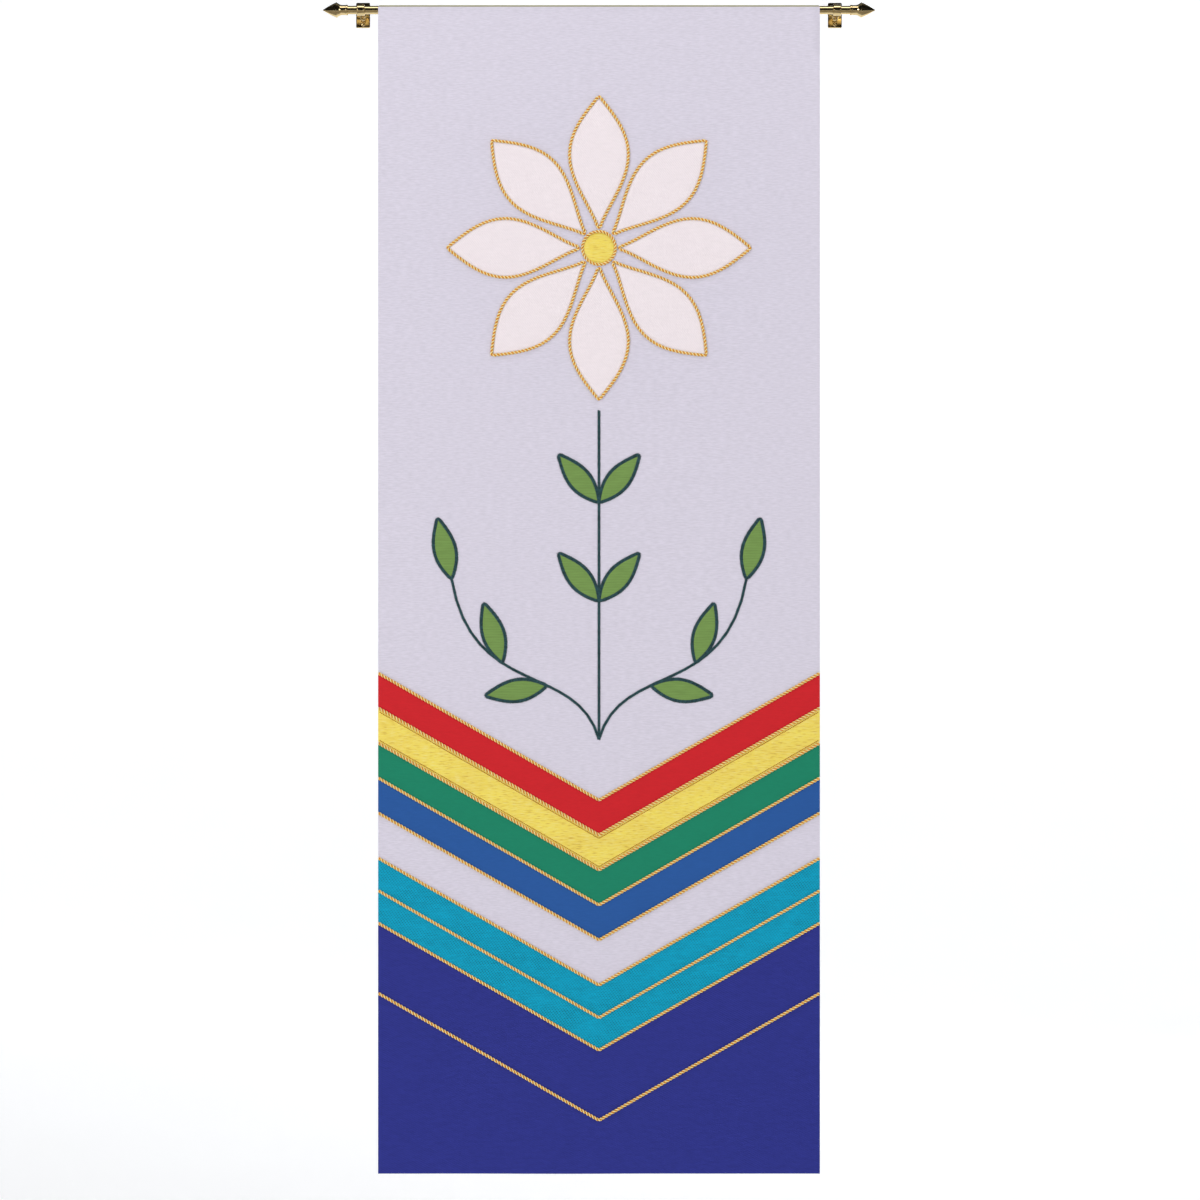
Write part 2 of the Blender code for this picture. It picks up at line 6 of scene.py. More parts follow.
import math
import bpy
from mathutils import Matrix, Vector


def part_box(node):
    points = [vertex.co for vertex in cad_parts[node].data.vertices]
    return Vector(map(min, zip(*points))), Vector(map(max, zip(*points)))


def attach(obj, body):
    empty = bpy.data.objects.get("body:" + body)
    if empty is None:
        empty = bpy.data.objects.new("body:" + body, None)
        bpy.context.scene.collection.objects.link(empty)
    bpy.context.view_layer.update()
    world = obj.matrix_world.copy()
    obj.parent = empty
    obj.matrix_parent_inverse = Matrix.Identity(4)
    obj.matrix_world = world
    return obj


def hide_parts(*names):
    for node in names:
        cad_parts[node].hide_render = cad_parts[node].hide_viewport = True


bl_info = {
    "name": "Appliqué banner",
    "version": (1, 0, 0),
    "blender": (4, 5, 0),
    "location": "View3D > Sidebar > Banner",
    "description": "Sews a banner of appliqué and couched cord and hangs it on a brass rod",
    "category": "Object",
}

import bmesh
import bpy
import numpy as np
from bpy.props import FloatProperty, FloatVectorProperty, IntProperty, PointerProperty
from mathutils import Matrix, Vector
from mathutils.geometry import interpolate_bezier

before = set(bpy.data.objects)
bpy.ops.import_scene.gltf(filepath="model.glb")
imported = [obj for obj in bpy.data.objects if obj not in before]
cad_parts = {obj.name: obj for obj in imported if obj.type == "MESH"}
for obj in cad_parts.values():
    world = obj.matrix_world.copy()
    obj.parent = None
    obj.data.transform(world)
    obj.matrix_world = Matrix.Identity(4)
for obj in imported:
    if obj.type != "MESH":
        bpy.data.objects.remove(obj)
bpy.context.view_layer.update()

BODY = "root"


# Ground cloth and rod, read from the frame
PANEL_LOW, PANEL_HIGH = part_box("ground_panel")
FACE_Y = PANEL_LOW.y
PANEL_TOP = PANEL_HIGH.z
PANEL_FOOT = PANEL_LOW.z
PANEL_HALF = PANEL_HIGH.x
ROD_LOW, ROD_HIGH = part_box("rod")
ROD_HALF = ROD_HIGH.x
ROD_RADIUS = (ROD_HIGH.z - ROD_LOW.z) / 2
ROD_Y = (ROD_LOW.y + ROD_HIGH.y) / 2
RING_LOW, RING_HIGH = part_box("bracket_arm_right")
BRACKET_X = (RING_LOW.x + RING_HIGH.x) / 2
SLEEVE_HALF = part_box("rod_sleeve")[1].x
SLEEVE_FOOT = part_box("rod_sleeve")[0].z
SEAT = 0.0003

# Spear finial
RIM_DIAMETER = 0.0144
RIM_LENGTH = 0.002
COLLAR_DIAMETER = 0.0136
COLLAR_LENGTH = 0.006
FLARE_LENGTH = 0.007
HEAD_DIAMETER = 0.021
POINT_LENGTH = 0.019
POINT_DIAMETER = 0.0012
POINT_SWELL = 0.0006
SOCKET_DEPTH = 0.007
ROD_IN_VIEW = 2 * (ROD_HALF - SOCKET_DEPTH + SEAT)
SOFT_EDGE = 0.0003

# Wall bracket
PLATE_THICKNESS = 0.0022
RING_DIAMETER = 0.0152
RING_WIDTH = 0.0105
RING_ROUNDING = 0.0012
POST_DIAMETER = 0.0075
POST_FOOT_DIAMETER = 0.0125
POST_FOOT_LENGTH = 0.0022
SCREW_OFFSET = 0.0125
SCREW_SHANK_DIAMETER = 0.0036
SCREW_HEAD_DIAMETER = 0.0058
SCREW_HEAD_HEIGHT = 0.0016
SET_SCREW_NECK_DIAMETER = 0.0034
SET_SCREW_NECK_LENGTH = 0.0016
SET_SCREW_HEAD_DIAMETER = 0.007
SET_SCREW_HEAD_LENGTH = 0.004
SET_SCREW_FROM_WALL = 0.009
SLOT_WIDTH = 0.0009
SLOT_DEPTH = 0.0008

# Cloths
PANEL_THICKNESS = 0.0011
HEM_WIDTH = 0.020
HEM_THICKNESS = 0.0008
SLEEVE_THICKNESS = 0.0005
PATCH_THICKNESS = 0.0010
EDGE_STEPS = (0.0, 0.0004, 0.0011, 0.0024)
EDGE_SHARE = 0.35
TUCKED_UNDER = 0.0007

# Rosette
ROSETTE_Z = -0.325
PETALS = 8
PETAL_LENGTH = 0.172
PETAL_WIDTH = 0.075
PETAL_FULLEST = 0.56
PETAL_START = 0.0305
CENTRE_RADIUS = 0.020

# Stem, branches and leaves
STEM_TOP_Z = -0.546
STEM_FOOT_Z = -0.992
BRANCH_POINTS = ((0.0, -0.992), (0.030, -0.885), (0.172, -0.940), (0.200, -0.775))
LEAF_LENGTH = 0.078
LEAF_WIDTH = 0.025
LEAF_FULLEST = 0.47
SATIN_WIDTH = 0.0040
LEAF_TABLE = (
    # what carries it, how far along, degrees turned from its run, clockwise
    ("stem", 0.42, 40),
    ("stem", 0.72, 40),
    ("branch", 0.38, 34),
    ("branch", 0.62, -42),
    ("branch", 1.00, 0),
)

# Pointed bands: depth of each V's point under the rod
V_SLOPE = math.radians(29.9)
BANDS = (
    # node, material slot, depth of its upper edge, depth of its lower edge
    ("band_red", "red_cloth", 1.0745, 1.1220),
    ("band_gold", "gold_lame", 1.1220, 1.1695),
    ("band_green", "green_cloth", 1.1695, 1.2170),
    ("band_blue", "blue_cloth", 1.2170, 1.2645),
    ("chevron_teal", "teal_cloth", 1.3257, 1.4140),
)
FIELD_DEPTH = 1.4140
V_CORDS = (
    # node, depth of its point, lies on a sewn-on piece
    ("cord_above_red", 1.0745, False),
    ("cord_above_gold", 1.1220, False),
    ("cord_above_green", 1.1695, False),
    ("cord_above_blue", 1.2170, False),
    ("cord_below_blue", 1.2645, False),
    ("cord_above_teal", 1.3257, False),
    ("cord_on_teal", 1.3698, True),
    ("cord_above_royal", 1.4140, False),
    ("cord_on_royal", 1.5090, True),
)

# The photograph's view: where its centre falls, how far off it was taken and how wide it sees there
VIEW_CENTRE = (0.0014, -0.803)
VIEW_Y = -3.75
VIEW_WIDTH = 1.6296
SENSOR = 36.0
FLOOR_Z = -2.2


def linear(code):
    """The linear red, green and blue of an sRGB hex code."""
    parts = [int(code[start : start + 2], 16) / 255 for start in (1, 3, 5)]
    return tuple(p / 12.92 if p <= 0.04045 else ((p + 0.055) / 1.055) ** 2.4 for p in parts)


class BannerSizes(bpy.types.PropertyGroup):
    wave_depth: FloatProperty(
        name="Wave depth",
        description="How far the hung cloth waves in and out",
        default=0.0011,
        min=0,
        unit="LENGTH",
    )
    wave_spacing: FloatProperty(
        name="Wave spacing",
        description="Width of one broad wave of the hung cloth",
        default=0.43,
        min=0.05,
        unit="LENGTH",
    )
    cord_width: FloatProperty(
        name="Cord width",
        description="Width of the couched gold cord",
        default=0.0045,
        min=0.001,
        unit="LENGTH",
    )
    cord_height: FloatProperty(
        name="Cord height",
        description="How high the couched cord stands on the cloth",
        default=0.0030,
        min=0.001,
        unit="LENGTH",
    )
    cord_turn: FloatProperty(
        name="Cord turn",
        description="Length of cord in which its two strands go once round each other",
        default=0.0096,
        min=0.002,
        unit="LENGTH",
    )
    satin_spacing: FloatProperty(
        name="Satin spacing",
        description="Distance between two threads of the satin stitch",
        default=0.0010,
        min=0.0003,
        unit="LENGTH",
    )
    hem_stitch_spacing: FloatProperty(
        name="Hem stitch spacing",
        description="Distance between two stitches of a hem or seam",
        default=0.0055,
        min=0.001,
        unit="LENGTH",
    )
    brass_steps: IntProperty(
        name="Brass steps",
        description="Steps round the turned brass pieces",
        default=64,
        min=12,
    )


def colour_property(label, code):
    return FloatVectorProperty(
        name=label,
        description=f"Main colour of the {label.lower()}",
        default=linear(code),
        subtype="COLOR",
        size=3,
        min=0,
        max=1,
    )


class BannerColours(bpy.types.PropertyGroup):
    lavender_cloth: colour_property("Ground cloth", "#D9D3E0")
    khaki_lining: colour_property("Sleeve lining", "#A39D6B")
    white_twill: colour_property("White twill", "#F1E6E9")
    gold_lame: colour_property("Gold lamé", "#FFE25E")
    gold_cord: colour_property("Gold cord", "#FFDF55")
    leaf_green_cloth: colour_property("Leaf cloth", "#769650")
    dark_green_satin: colour_property("Satin stitch", "#2B4C50")
    red_cloth: colour_property("Red cloth", "#D02129")
    green_cloth: colour_property("Green cloth", "#198565")
    blue_cloth: colour_property("Blue cloth", "#28599F")
    teal_cloth: colour_property("Teal cloth", "#009FC2")
    royal_cloth: colour_property("Royal blue cloth", "#2D338A")
    polished_brass: colour_property("Brass", "#E8CF96")


def sizes():
    return bpy.context.scene.banner_sizes


# Materials


def add_node(tree, kind, inputs=None, **settings):
    """A node with its settings; each input is a value or the socket that feeds it."""
    node = tree.nodes.new(kind)
    for name, value in settings.items():
        setattr(node, name, value)
    for name, value in (inputs or {}).items():
        if isinstance(value, bpy.types.NodeSocket):
            tree.links.new(value, node.inputs[name])
        else:
            node.inputs[name].default_value = value
    return node


def shade(colour, factor):
    """A colour made darker or lighter, as four numbers."""
    return (*(min(1.0, part * factor) for part in colour), 1.0)


# Threads scatter what a smooth surface would mirror
THREAD_GLOSS = 0.15


def start_material(name, roughness, metallic=0.0):
    material = bpy.data.materials.new(name)
    material.use_nodes = True
    tree = material.node_tree
    shader = tree.nodes["Principled BSDF"]
    shader.inputs["Roughness"].default_value = roughness
    shader.inputs["Metallic"].default_value = metallic
    if not metallic:
        shader.inputs["Specular IOR Level"].default_value = THREAD_GLOSS
    return material, tree, shader


def calculate(tree, operation, *values):
    """One sum, product or other step on numbers or sockets."""
    return add_node(
        tree, "ShaderNodeMath", dict(enumerate(values)), operation=operation
    ).outputs[0]


def streaks(tree, place, size, detail=2.0):
    """Noise stretched to a size in metres along X, Y and Z."""
    scale = tuple(1 / part for part in size)
    mapped = add_node(tree, "ShaderNodeMapping", {"Vector": place, "Scale": scale})
    noise = add_node(
        tree, "ShaderNodeTexNoise", {"Vector": mapped.outputs[0], "Scale": 1.0, "Detail": detail}
    )
    return noise.outputs["Fac"]


def ridges(tree, place, pitch, degrees=0.0):
    """Straight ridges a pitch apart, from -1 to 1; at 0 degrees they run upright."""
    turned = add_node(
        tree, "ShaderNodeMapping", {"Vector": place, "Rotation": (0, math.radians(degrees), 0)}
    )
    across = add_node(tree, "ShaderNodeSeparateXYZ", {"Vector": turned.outputs[0]}).outputs["X"]
    return calculate(tree, "SINE", calculate(tree, "MULTIPLY", across, math.tau / pitch))


def tint(tree, factor, low, high):
    """A colour between two, by a factor."""
    return add_node(
        tree, "ShaderNodeMix", {0: factor, 6: low, 7: high}, data_type="RGBA"
    ).outputs[2]


def spread(tree, value, low, high):
    """Stretches the part of a value between low and high to 0 and 1."""
    return add_node(
        tree, "ShaderNodeMapRange", {"Value": value, "From Min": low, "From Max": high}
    ).outputs[0]


def raise_surface(tree, shader, height, distance, strength=1.0):
    bump = add_node(
        tree, "ShaderNodeBump", {"Height": height, "Distance": distance, "Strength": strength}
    )
    tree.links.new(bump.outputs[0], shader.inputs["Normal"])


def woven_cloth(name, colour, contrast, slub, pitch, degrees, rib_share, roughness=0.85):
    """A cloth of uneven threads: slubs of the given size and ribs a pitch apart shade the colour."""
    material, tree, shader = start_material(name, roughness)
    place = add_node(tree, "ShaderNodeTexCoord").outputs["Object"]
    slubs = spread(tree, streaks(tree, place, slub), 0.3, 0.7)
    ribs = calculate(tree, "MULTIPLY_ADD", ridges(tree, place, pitch, degrees), 0.5, 0.5)
    threads = calculate(tree, "MULTIPLY", slubs, 1 - rib_share)
    factor = calculate(tree, "MULTIPLY_ADD", ribs, rib_share, threads)
    mixed = tint(tree, factor, shade(colour, 1 - contrast), shade(colour, 1 + contrast))
    tree.links.new(mixed, shader.inputs["Base Color"])
    raise_surface(tree, shader, factor, pitch * 0.15, 0.5)
    return material


def ground_cotton(colour):
    # Cotton woven with uneven slub weft: matt, with short soft streaks that run sideways
    return woven_cloth("slubbed cotton", colour, 0.075, (0.009, 0.009, 0.0017), 0.0016, 90, 0.2)


def sleeve_cotton(colour):
    # Plain cotton lining: matt and close woven
    return woven_cloth("cotton lining", colour, 0.07, (0.02, 0.02, 0.0020), 0.0012, 90, 0.3)


def white_twill(colour):
    # Cotton twill: matt, with faint ribs that climb to the right, drawn 2.4 mm apart so that they show
    return woven_cloth("cotton twill", colour, 0.035, (0.012, 0.012, 0.0035), 0.0024, 38, 0.55, 0.8)


def leaf_poplin(colour):
    # Ribbed poplin: fine cross ribs, drawn 2.2 mm apart so that they show
    return woven_cloth("ribbed poplin", colour, 0.17, (0.02, 0.02, 0.0016), 0.0022, 90, 0.55, 0.75)


def dyed_cotton(name):
    def build(colour):
        # Dyed cotton sateen: smooth and even
        return woven_cloth(name, colour, 0.05, (0.008, 0.008, 0.0018), 0.0014, 90, 0.3, 0.62)

    return build


def royal_rib(colour):
    # Ribbed cotton: fine slanted ribs, drawn 2.6 mm apart so that they show
    return woven_cloth("ribbed cotton", colour, 0.13, (0.010, 0.010, 0.0018), 0.0026, 62, 0.5, 0.6)


def teal_figured(colour):
    # Two-colour figured cotton: dark dots in slanting rows 3.2 mm apart, stronger in some places
    material, tree, shader = start_material("figured cotton", 0.6)
    place = add_node(tree, "ShaderNodeTexCoord").outputs["Object"]
    rows = spread(tree, ridges(tree, place, 0.0032, 35), -0.05, 0.75)
    columns = spread(tree, ridges(tree, place, 0.0028, -50), -0.05, 0.75)
    dots = calculate(tree, "MULTIPLY", rows, columns)
    patches = spread(tree, streaks(tree, place, (0.035, 0.035, 0.02)), 0.35, 0.65)
    strength = calculate(tree, "MULTIPLY_ADD", patches, 0.6, 0.4)
    factor = calculate(tree, "MULTIPLY", dots, strength)
    slubs = spread(tree, streaks(tree, place, (0.01, 0.01, 0.0016)), 0.3, 0.7)
    teal = tint(tree, slubs, shade(colour, 0.9), shade(colour, 1.1))
    mixed = tint(tree, factor, teal, (*linear("#03574A"), 1.0))
    tree.links.new(mixed, shader.inputs["Base Color"])
    height = calculate(tree, "SUBTRACT", slubs, calculate(tree, "MULTIPLY", dots, 2.0))
    raise_surface(tree, shader, height, 0.00012, 0.6)
    return material


def gold_lame(colour):
    # Lamé woven with flat metal thread: streaky and slightly metallic, brown where the threads part
    material, tree, shader = start_material("gold lamé", 0.45, 0.12)
    place = add_node(tree, "ShaderNodeTexCoord").outputs["Object"]
    fibres = streaks(tree, place, (0.011, 0.011, 0.0012), 3.0)
    slow = streaks(tree, place, (0.05, 0.05, 0.02))
    warm = tint(tree, spread(tree, slow, 0.3, 0.7), shade(colour, 0.95), shade(colour, 1.06))
    pale = calculate(tree, "MULTIPLY", spread(tree, fibres, 0.52, 0.68), 0.55)
    lit = tint(tree, pale, warm, (*linear("#FFF0A6"), 1.0))
    partings = calculate(tree, "MULTIPLY", spread(tree, fibres, 0.44, 0.28), 0.7)
    mixed = tint(tree, partings, lit, (*linear("#CE9530"), 1.0))
    tree.links.new(mixed, shader.inputs["Base Color"])
    raise_surface(tree, shader, fibres, 0.0004, 0.6)
    return material


def metal_thread(colour):
    # Gilt thread laid round a core, coloured with painted light: a painted highlight on the strands' crests, painted
    # shade in tan where the strands meet and darker brown painted shade at the foot
    material, tree, shader = start_material("gilt cord", 0.3)
    shader.inputs["Specular IOR Level"].default_value = 0.8
    shader.inputs["Sheen Weight"].default_value = 1.0
    shader.inputs["Sheen Roughness"].default_value = 0.35
    shader.inputs["Sheen Tint"].default_value = (*linear("#FFD96A"), 1.0)
    crest = add_node(tree, "ShaderNodeAttribute", attribute_name="crest").outputs["Fac"]
    along = add_node(tree, "ShaderNodeAttribute", attribute_name="along").outputs["Fac"]
    around = add_node(tree, "ShaderNodeAttribute", attribute_name="around").outputs["Fac"]
    turns = calculate(tree, "MULTIPLY_ADD", along, 1 / 0.0007, calculate(tree, "MULTIPLY", around, 3.0))
    winding = calculate(tree, "SINE", calculate(tree, "MULTIPLY", turns, math.tau))
    facing = add_node(tree, "ShaderNodeTexCoord").outputs["Normal"]
    outwards = add_node(tree, "ShaderNodeSeparateXYZ", {"Vector": facing}).outputs["Y"]
    # Painted shade: darker brown on the cord's faces that turn away from the front, down towards the cloth
    foot = calculate(tree, "MULTIPLY", spread(tree, outwards, -0.35, 0.3), 0.5)
    # Painted shade: tan where the two strands meet, low on their crest measure
    painted_groove_shade = spread(tree, crest, 0.95, 0.74)
    # Painted highlight: pale cream on the strands' outermost crests
    painted_crest_highlight = spread(tree, crest, 0.91, 1.0)
    # The cord's colour with the painted highlight, then the painted shade where the strands meet, then the painted
    # shade at the foot
    gold = tint(tree, painted_crest_highlight, shade(colour, 1.0), (*linear("#FFF5BC"), 1.0))
    groove_shaded_gold = tint(tree, painted_groove_shade, gold, (*linear("#EC9230"), 1.0))
    mixed = tint(tree, foot, groove_shaded_gold, (*linear("#9A5C1A"), 1.0))
    tree.links.new(mixed, shader.inputs["Base Color"])
    raise_surface(tree, shader, winding, 0.00005, 0.4)
    return material


def satin_thread(colour):
    # Rayon embroidery thread: dark, with a silky shine and small changes from stitch to stitch
    material, tree, shader = start_material("satin thread", 0.45)
    shader.inputs["Sheen Weight"].default_value = 0.2
    pick = add_node(tree, "ShaderNodeAttribute", attribute_name="shade").outputs["Fac"]
    mixed = tint(tree, pick, shade(colour, 0.6), shade(colour, 1.5))
    tree.links.new(mixed, shader.inputs["Base Color"])
    return material


def sewing_thread(name, code):
    """Cotton sewing thread: matt, with small changes from stitch to stitch."""
    material, tree, shader = start_material(name, 0.7)
    pick = add_node(tree, "ShaderNodeAttribute", attribute_name="shade").outputs["Fac"]
    mixed = tint(tree, pick, shade(linear(code), 0.8), shade(linear(code), 1.15))
    tree.links.new(mixed, shader.inputs["Base Color"])
    return material


def polished_brass(colour):
    # Brass, turned, polished and lacquered: a mirror with slight hand-wear in its gloss
    material, tree, shader = start_material("polished brass", 0.1, 1.0)
    shader.inputs["Coat Weight"].default_value = 0.5
    shader.inputs["Coat Roughness"].default_value = 0.06
    place = add_node(tree, "ShaderNodeTexCoord").outputs["Object"]
    wear = streaks(tree, place, (0.006, 0.006, 0.006), 4.0)
    mixed = tint(tree, wear, shade(colour, 0.93), shade(colour, 1.04))
    tree.links.new(mixed, shader.inputs["Base Color"])
    gloss = add_node(
        tree, "ShaderNodeMapRange", {"Value": wear, "To Min": 0.06, "To Max": 0.16}
    ).outputs[0]
    tree.links.new(gloss, shader.inputs["Roughness"])
    raise_surface(tree, shader, wear, 0.00002, 0.3)
    return material


FINISHES = {
    "lavender_cloth": ground_cotton,
    "khaki_lining": sleeve_cotton,
    "white_twill": white_twill,
    "gold_lame": gold_lame,
    "gold_cord": metal_thread,
    "leaf_green_cloth": leaf_poplin,
    "dark_green_satin": satin_thread,
    "red_cloth": dyed_cotton("red sateen"),
    "green_cloth": dyed_cotton("green sateen"),
    "blue_cloth": dyed_cotton("blue sateen"),
    "teal_cloth": teal_figured,
    "royal_cloth": royal_rib,
    "polished_brass": polished_brass,
}
THREADS = {
    "tacking thread": "#B2600E",
    "hem thread": "#CFC9DA",
    "lining thread": "#8E8858",
}
made_materials = {}


def finish_of(name):
    """The material of a slot or of a sewing thread, made when it is first asked for."""
    if name not in made_materials:
        if name in FINISHES:
            colour = getattr(bpy.context.scene.banner_colours, name)
            made_materials[name] = FINISHES[name](tuple(colour))
        else:
            made_materials[name] = sewing_thread(name, THREADS[name])
    return made_materials[name]


# Shapes in the plane of the cloth, as (x, z) points


def offset_outline(outline, distance, corner_steps=8):
    """A closed outline moved outwards. It runs anticlockwise seen from the front, and turns round its
    sharp corners in an arc."""
    points = [Vector(point) for point in outline]
    moved = []
    for index, point in enumerate(points):
        before = (point - points[index - 1]).normalized()
        after = (points[(index + 1) % len(points)] - point).normalized()
        out_before = Vector((before.y, -before.x))
        out_after = Vector((after.y, -after.x))
        if out_before.dot(out_after) > math.cos(math.radians(35)):
            mitre = (out_before + out_after) / (1 + out_before.dot(out_after))
            moved.append(point + mitre * distance)
            continue
        start = math.atan2(out_before.y, out_before.x)
        turn = out_before.angle_signed(out_after)
        for step in range(corner_steps + 1):
            angle = start - turn * step / corner_steps
            moved.append(point + Vector((math.cos(angle), math.sin(angle))) * distance)
    return moved


def oval_rows(length, width, fullest, steps, start=0.0, grow=0.0):
    """Left and right edge points of a petal or leaf that points along +Z from its base at a start height.
    It may be cut larger all round, for its edge to lie under what is sewn along it."""
    power = math.log(0.5) / math.log(fullest)
    rows = []
    for step in range(steps + 1):
        share = (1 - math.cos(math.pi * step / steps)) / 2
        half = (width / 2 + grow) * max(math.sin(math.pi * share**power), 0.0)
        height = start - grow + (length + 2 * grow) * share
        rows.append((Vector((-half, height)), Vector((half, height))))
    return rows


def petal_rows(grow=0.0):
    return oval_rows(PETAL_LENGTH, PETAL_WIDTH, PETAL_FULLEST, 26, PETAL_START, grow)


def petal_cord_path():
    return offset_outline(rows_outline(petal_rows()), SEAT + sizes().cord_width / 2)


def centre_cord_path():
    reach = CENTRE_RADIUS + SEAT + sizes().cord_width / 2
    return turn_and_place(rows_outline(disc_rows(reach, 16)), 0, (0, ROSETTE_Z))


def disc_rows(radius, steps):
    turns = [math.pi * step / steps for step in range(steps + 1)]
    return [
        (
            Vector((-radius * math.sin(turn), -radius * math.cos(turn))),
            Vector((radius * math.sin(turn), -radius * math.cos(turn))),
        )
        for turn in turns
    ]


def rows_outline(rows):
    """The closed outline round the rows, anticlockwise seen from the front."""
    right = [row[1] for row in rows]
    left = [row[0] for row in reversed(rows)]
    outline = []
    for point in right + left:
        if not outline or (point - outline[-1]).length > 1e-6:
            outline.append(point)
    if (outline[0] - outline[-1]).length <= 1e-6:
        outline.pop()
    return outline


def turn_and_place(points, turn, place):
    """Points turned clockwise, seen from the front, and moved."""
    cos, sin = math.cos(turn), math.sin(turn)
    return [
        Vector((p.x * cos + p.y * sin + place[0], -p.x * sin + p.y * cos + place[1])) for p in points
    ]


def place_rows(rows, turn, place):
    return [tuple(turn_and_place(row, turn, place)) for row in rows]


def v_height(x, depth):
    """Height of a V's line at x."""
    return abs(x) * math.tan(V_SLOPE) - depth


def band_stations():
    """Places along X for the rows of a band, close together at the cloth's edges and at the point."""
    half = [0.0, 0.0015, 0.004] + [0.010 * step for step in range(1, 30)]
    half += [PANEL_HALF - step for step in (0.0024, 0.0011, 0.0004, 0.0)]
    return [-x for x in reversed(half[1:])] + half


def band_rows(upper, lower):
    """Rows of the cloth between two V-shaped cords, tucked under both. Without a lower one it ends at the
    foot."""
    inset = (sizes().cord_width / 2 - TUCKED_UNDER) / math.cos(V_SLOPE)
    rows = []
    for x in band_stations():
        foot = PANEL_FOOT if lower is None else v_height(x, lower - inset)
        rows.append((Vector((x, v_height(x, upper + inset))), Vector((x, foot))))
    return rows


def v_path(depth, reach=PANEL_HALF):
    """A V from edge to edge whose point is turned in a small bend."""
    bend = 0.0022
    side = Vector((bend * math.cos(V_SLOPE), bend * math.sin(V_SLOPE) - depth))
    knots = [Vector((-side.x, side.y, 0)), Vector((0, -depth, 0)), Vector((side.x, side.y, 0))]
    handles = [knots[0], knots[0].lerp(knots[1], 0.7), knots[2].lerp(knots[1], 0.7), knots[2]]
    turn = [Vector((p.x, p.y)) for p in interpolate_bezier(*handles, 9)]
    ends = Vector((reach, v_height(reach, depth)))
    return [Vector((-ends.x, ends.y))] + turn + [ends]


def branch_path():
    knots = [Vector((x, z, 0)) for x, z in BRANCH_POINTS]
    return [Vector((p.x, p.y)) for p in interpolate_bezier(*knots, 17)]


def leaf_places():
    """Where each leaf's base lies and where it points, for both halves."""
    paths = {
        "stem": [Vector((0.0, STEM_FOOT_Z)), Vector((0.0, STEM_TOP_Z))],
        "branch": branch_path(),
    }
    places = []
    for side in (1, -1):
        for carrier, share, turn in LEAF_TABLE:
            path = paths[carrier]
            spot = share * (len(path) - 1)
            index = min(int(spot), len(path) - 2)
            step = path[index + 1] - path[index]
            heading = math.atan2(step.x, step.y) + math.radians(turn)
            base = path[index] + step * (spot - index)
            base += Vector((math.sin(heading), math.cos(heading))) * SATIN_WIDTH
            places.append(((side * base.x, base.y), side * heading))
    return places


def hang(x, z):
    """How far the cloth stands behind its flat place at (x, z). The rod holds the top straight."""
    wave = sizes().wave_spacing
    freed = 1 - np.exp(-np.maximum(PANEL_TOP - z, 0) / 0.3)
    broad = np.sin(math.tau * (x / wave + 0.13) + 1.1 * z)
    narrow = np.sin(math.tau * (x / (0.53 * wave) + 0.4) - 2.3 * z)
    return sizes().wave_depth * freed * (0.62 * broad + 0.38 * narrow)


# Meshes


def object_from(name, mesh, slot):
    obj = bpy.data.objects.new(name, mesh)
    bpy.context.scene.collection.objects.link(obj)
    if not mesh.materials:
        mesh.materials.append(finish_of(slot))
    return obj


def smooth(mesh, degrees=None):
    mesh.shade_smooth()
    if degrees is not None:
        mesh.set_sharp_from_angle(angle=math.radians(degrees))
    return mesh


def move_points(mesh, rule):
    """Moves a mesh's points by a rule on their x, y and z."""
    points = np.empty(len(mesh.vertices) * 3, np.float32)
    mesh.vertices.foreach_get("co", points)
    points = points.reshape(-1, 3).astype(float)
    mesh.vertices.foreach_set("co", rule(points).astype(np.float32).ravel())
    mesh.update()


def lay_on_cloth(mesh, lift=0.0, surface_y=FACE_Y):
    """Sets a piece that was made round the plane Y = 0 onto the hung cloth, lifted towards the viewer."""

    def rule(points):
        points[:, 1] += surface_y - lift + hang(points[:, 0], points[:, 2])
        return points

    move_points(mesh, rule)


def grid_solid(name, front, back):
    """A closed sheet between two grids of points. Points that fall together are merged."""
    rows, columns = front.shape[:2]
    shape = bmesh.new()
    layers = []
    for grid in (front, back):
        layers.append([[shape.verts.new(grid[r, c]) for c in range(columns)] for r in range(rows)])
    near, far = layers
    for row in range(rows - 1):
        for column in range(columns - 1):
            corners = ((row, column), (row, column + 1), (row + 1, column + 1), (row + 1, column))
            shape.faces.new([near[r][c] for r, c in corners])
            shape.faces.new([far[r][c] for r, c in reversed(corners)])
    rim = [(0, c) for c in range(columns)]
    rim += [(r, columns - 1) for r in range(1, rows)]
    rim += [(rows - 1, c) for c in range(columns - 2, -1, -1)]
    rim += [(r, 0) for r in range(rows - 2, 0, -1)]
    for here, there in zip(rim, rim[1:] + rim[:1]):
        shape.faces.new(
            [near[here[0]][here[1]], far[here[0]][here[1]], far[there[0]][there[1]], near[there[0]][there[1]]]
        )
    bmesh.ops.remove_doubles(shape, verts=shape.verts, dist=1e-6)
    bmesh.ops.dissolve_degenerate(shape, edges=shape.edges, dist=1e-7)
    bmesh.ops.recalc_face_normals(shape, faces=shape.faces)
    mesh = bpy.data.meshes.new(name)
    shape.to_mesh(mesh)
    shape.free()
    return smooth(mesh, 50)


def edge_distance(points, outline):
    """How far each of the (x, z) points lies from a closed outline."""
    ends = np.array([tuple(p) for p in outline])
    nearest = np.full(len(points), np.inf)
    for start, end in zip(ends, np.roll(ends, -1, axis=0)):
        along = end - start
        share = np.clip(((points - start) @ along) / (along @ along), 0, 1)
        gap = np.hypot(*(points - start - share[:, None] * along).T)
        nearest = np.minimum(nearest, gap)
    return nearest


